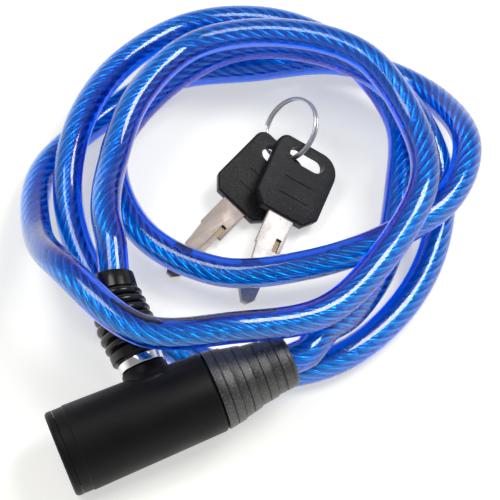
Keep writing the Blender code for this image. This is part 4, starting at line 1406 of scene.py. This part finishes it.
@dataclass
class SplitRing:
    """The double ring through both bows, with the step where one turn crosses to the other."""

    place: Point = (31.1, 62.7, 13.8)
    turn: Point = (0.0, 41.1, -166.4)
    radius: float = 11.2
    wire: float = 0.50
    wire_sides: int = 16
    layer: float = 0.62
    gap_angle: float = 25.0
    ends_angle: float = -15.0
    steps: int = 220

    def build_wire(self) -> bpy.types.Object:
        """Winds the wire.

        Returns:
            The piece.
        """
        turn = turned(self.turn)
        total = 720.0 - 2.0 * self.gap_angle
        line = []
        for i in range(self.steps + 1):
            angle = self.gap_angle + total * i / self.steps
            step = max(-1.0, min(1.0, (angle - 360.0) / self.gap_angle))
            layer = self.layer * math.sin(math.pi / 2.0 * step)
            a = math.radians(angle + self.ends_angle)
            local = Vector((self.radius * math.cos(a), self.radius * math.sin(a), layer))
            line.append(Vector(self.place) + turn @ local)
        ring = round_tube("split_ring_wire", line, self.wire, self.wire_sides)
        smooth(ring, angle=60.0)
        return ring

    def build(self) -> None:
        """Makes the ring and dresses it."""
        seat(dress(self.build_wire(), RING_STEEL.material()), Body.HEAD, "split_ring")


@dataclass
class KeyBunch:
    """Both keys on their ring."""

    # The lower key's plating is the painted-shade copy of the upper key's.
    keys: tuple[FlatKey, ...] = (
        FlatKey(1, (36.0, 50.8, 11.2), (-25.4, 8.4, -112.7), Body.KEY_1, NICKEL_PAINTED_LIT),
        FlatKey(2, (26.5, 52.6, 8.0), (-20.0, 5.3, -131.5), Body.KEY_2, NICKEL_PAINTED_SHADE))
    ring: SplitRing = field(default_factory=SplitRing)

    def build(self) -> None:
        """Makes the keys and the ring."""
        bow_plastic, milled = BOW_PLASTIC.material(), MILLED_BRASS.material()
        for key in self.keys:
            key.build(bow_plastic, milled)
        self.ring.build()


# Studio


@dataclass
class Studio:
    """The white floor, two soft boxes overhead and the camera that looks down between them.

    Powers are in watts, and the sizes of the lamps and the floor are in metres.
    """

    camera_place: Point = (17.0, -285.5, 492.0)
    tilt: float = 32.0
    lens: float = 122.4
    sensor: float = 36.0
    zenith: float = 0.28
    horizon: float = 1.0
    dusk: float = 0.52
    floor_size: float = 6.0
    floor_colour: Point = (0.75, 0.747, 0.69)
    floor_dim: float = 0.98
    floor_clouds: float = 3.0
    floor_roughness: float = 0.9
    lift: float = 0.50
    left_power: float = 3.0
    right_power: float = 6.4
    lamp_size: Span = (0.44, 0.42)
    left_lamp: Point = (-400.0, 160.0, 1010.0)
    right_lamp: Point = (560.0, 210.0, 940.0)
    aim: Point = (15.0, 30.0, 10.0)

    def add_camera(self) -> None:
        """Adds the camera and makes it the scene's."""
        data = bpy.data.cameras.new("camera")
        data.lens = self.lens
        data.sensor_width = self.sensor
        camera = bpy.data.objects.new("camera", data)
        camera.location = Vector(self.camera_place) * MM
        camera.rotation_euler = (math.radians(self.tilt), 0.0, 0.0)
        bpy.context.scene.collection.objects.link(camera)
        bpy.context.scene.camera = camera

    def add_lamp(self, name: str, place: Point, power: float) -> None:
        """Adds a soft box that points at the lock.

        Args:
            name: its name.
            place: where it hangs.
            power: its power.
        """
        data = bpy.data.lights.new(name, "AREA")
        data.shape = "RECTANGLE"
        data.size, data.size_y = self.lamp_size
        data.energy = power
        lamp = bpy.data.objects.new(name, data)
        lamp.location = Vector(place) * MM
        way = Vector(self.aim) - Vector(place)
        lamp.rotation_euler = way.to_track_quat("-Z", "Y").to_euler()
        bpy.context.scene.collection.objects.link(lamp)

    @staticmethod
    def seen(bench: Bench) -> Socket:
        """Adds a value that is 1 for what is seen directly, in a reflection or through vinyl.

        Args:
            bench: the material's bench.

        Returns:
            The value.
        """
        path = bench.add("ShaderNodeLightPath").outputs
        value = path["Is Camera Ray"]
        for name in ("Is Glossy Ray", "Is Transmission Ray"):
            node = bench.add("ShaderNodeMath")
            node.operation = "MAXIMUM"
            bench.feed(node.inputs[0], value)
            bench.feed(node.inputs[1], path[name])
            value = node.outputs[0]
        return value

    def add_floor(self) -> None:
        """Adds the floor, which shows as white wherever no shadow falls on it."""
        bpy.ops.object.select_all(action="DESELECT")
        bpy.ops.mesh.primitive_plane_add(size=self.floor_size)
        floor = bpy.context.object
        floor.name = "floor"
        bench = Bench("white_floor")
        lift = bench.add("ShaderNodeMath", Value=self.seen(bench))
        lift.operation = "MULTIPLY"
        lift.inputs[1].default_value = self.lift
        dim = tuple(self.floor_dim * c for c in self.floor_colour)
        bench.shade(Base_Color=bench.blend(bench.noise(self.floor_clouds), self.floor_colour, dim),
                    Roughness=self.floor_roughness, Specular_IOR_Level=0.0,
                    Emission_Strength=lift.outputs[0], Emission_Color=WHITE)
        floor.data.materials.append(bench.material)

    def add_sky(self) -> None:
        """Makes the room white low down and dimmer overhead, as round a table in a studio."""
        world = bpy.data.worlds.new("studio")
        world.use_nodes = True
        bpy.context.scene.world = world
        tree = world.node_tree
        back = tree.nodes["Background"]
        back.inputs["Color"].default_value = WHITE
        split = tree.nodes.new("ShaderNodeSeparateXYZ")
        sight = tree.nodes.new("ShaderNodeTexCoord").outputs["Generated"]
        tree.links.new(sight, split.inputs["Vector"])
        height = tree.nodes.new("ShaderNodeMapRange")
        height.inputs["From Max"].default_value = self.dusk
        height.inputs["To Min"].default_value = self.horizon
        height.inputs["To Max"].default_value = self.zenith
        tree.links.new(split.outputs["Z"], height.inputs["Value"])
        tree.links.new(height.outputs["Result"], back.inputs["Strength"])

    def build(self) -> None:
        """Sets up the camera, the light and the floor."""
        self.add_camera()
        self.add_sky()
        self.add_floor()
        self.add_lamp("left_soft_box", self.left_lamp, self.left_power)
        self.add_lamp("right_soft_box", self.right_lamp, self.right_power)
        bpy.context.scene.view_settings.view_transform = "Standard"


def main() -> None:
    """Builds the studio and every piece."""
    logging.basicConfig(level=logging.INFO, format="%(name)s: %(message)s")
    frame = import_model()
    Studio().build()
    head = LockHead()
    boot = BoltAndBoot(head)
    Cable(head, boot).build()
    head.dress_inside(frame["nodes"])
    head.build()
    boot.build()
    KeyBunch().build()


if __name__ == "__main__":
    main()
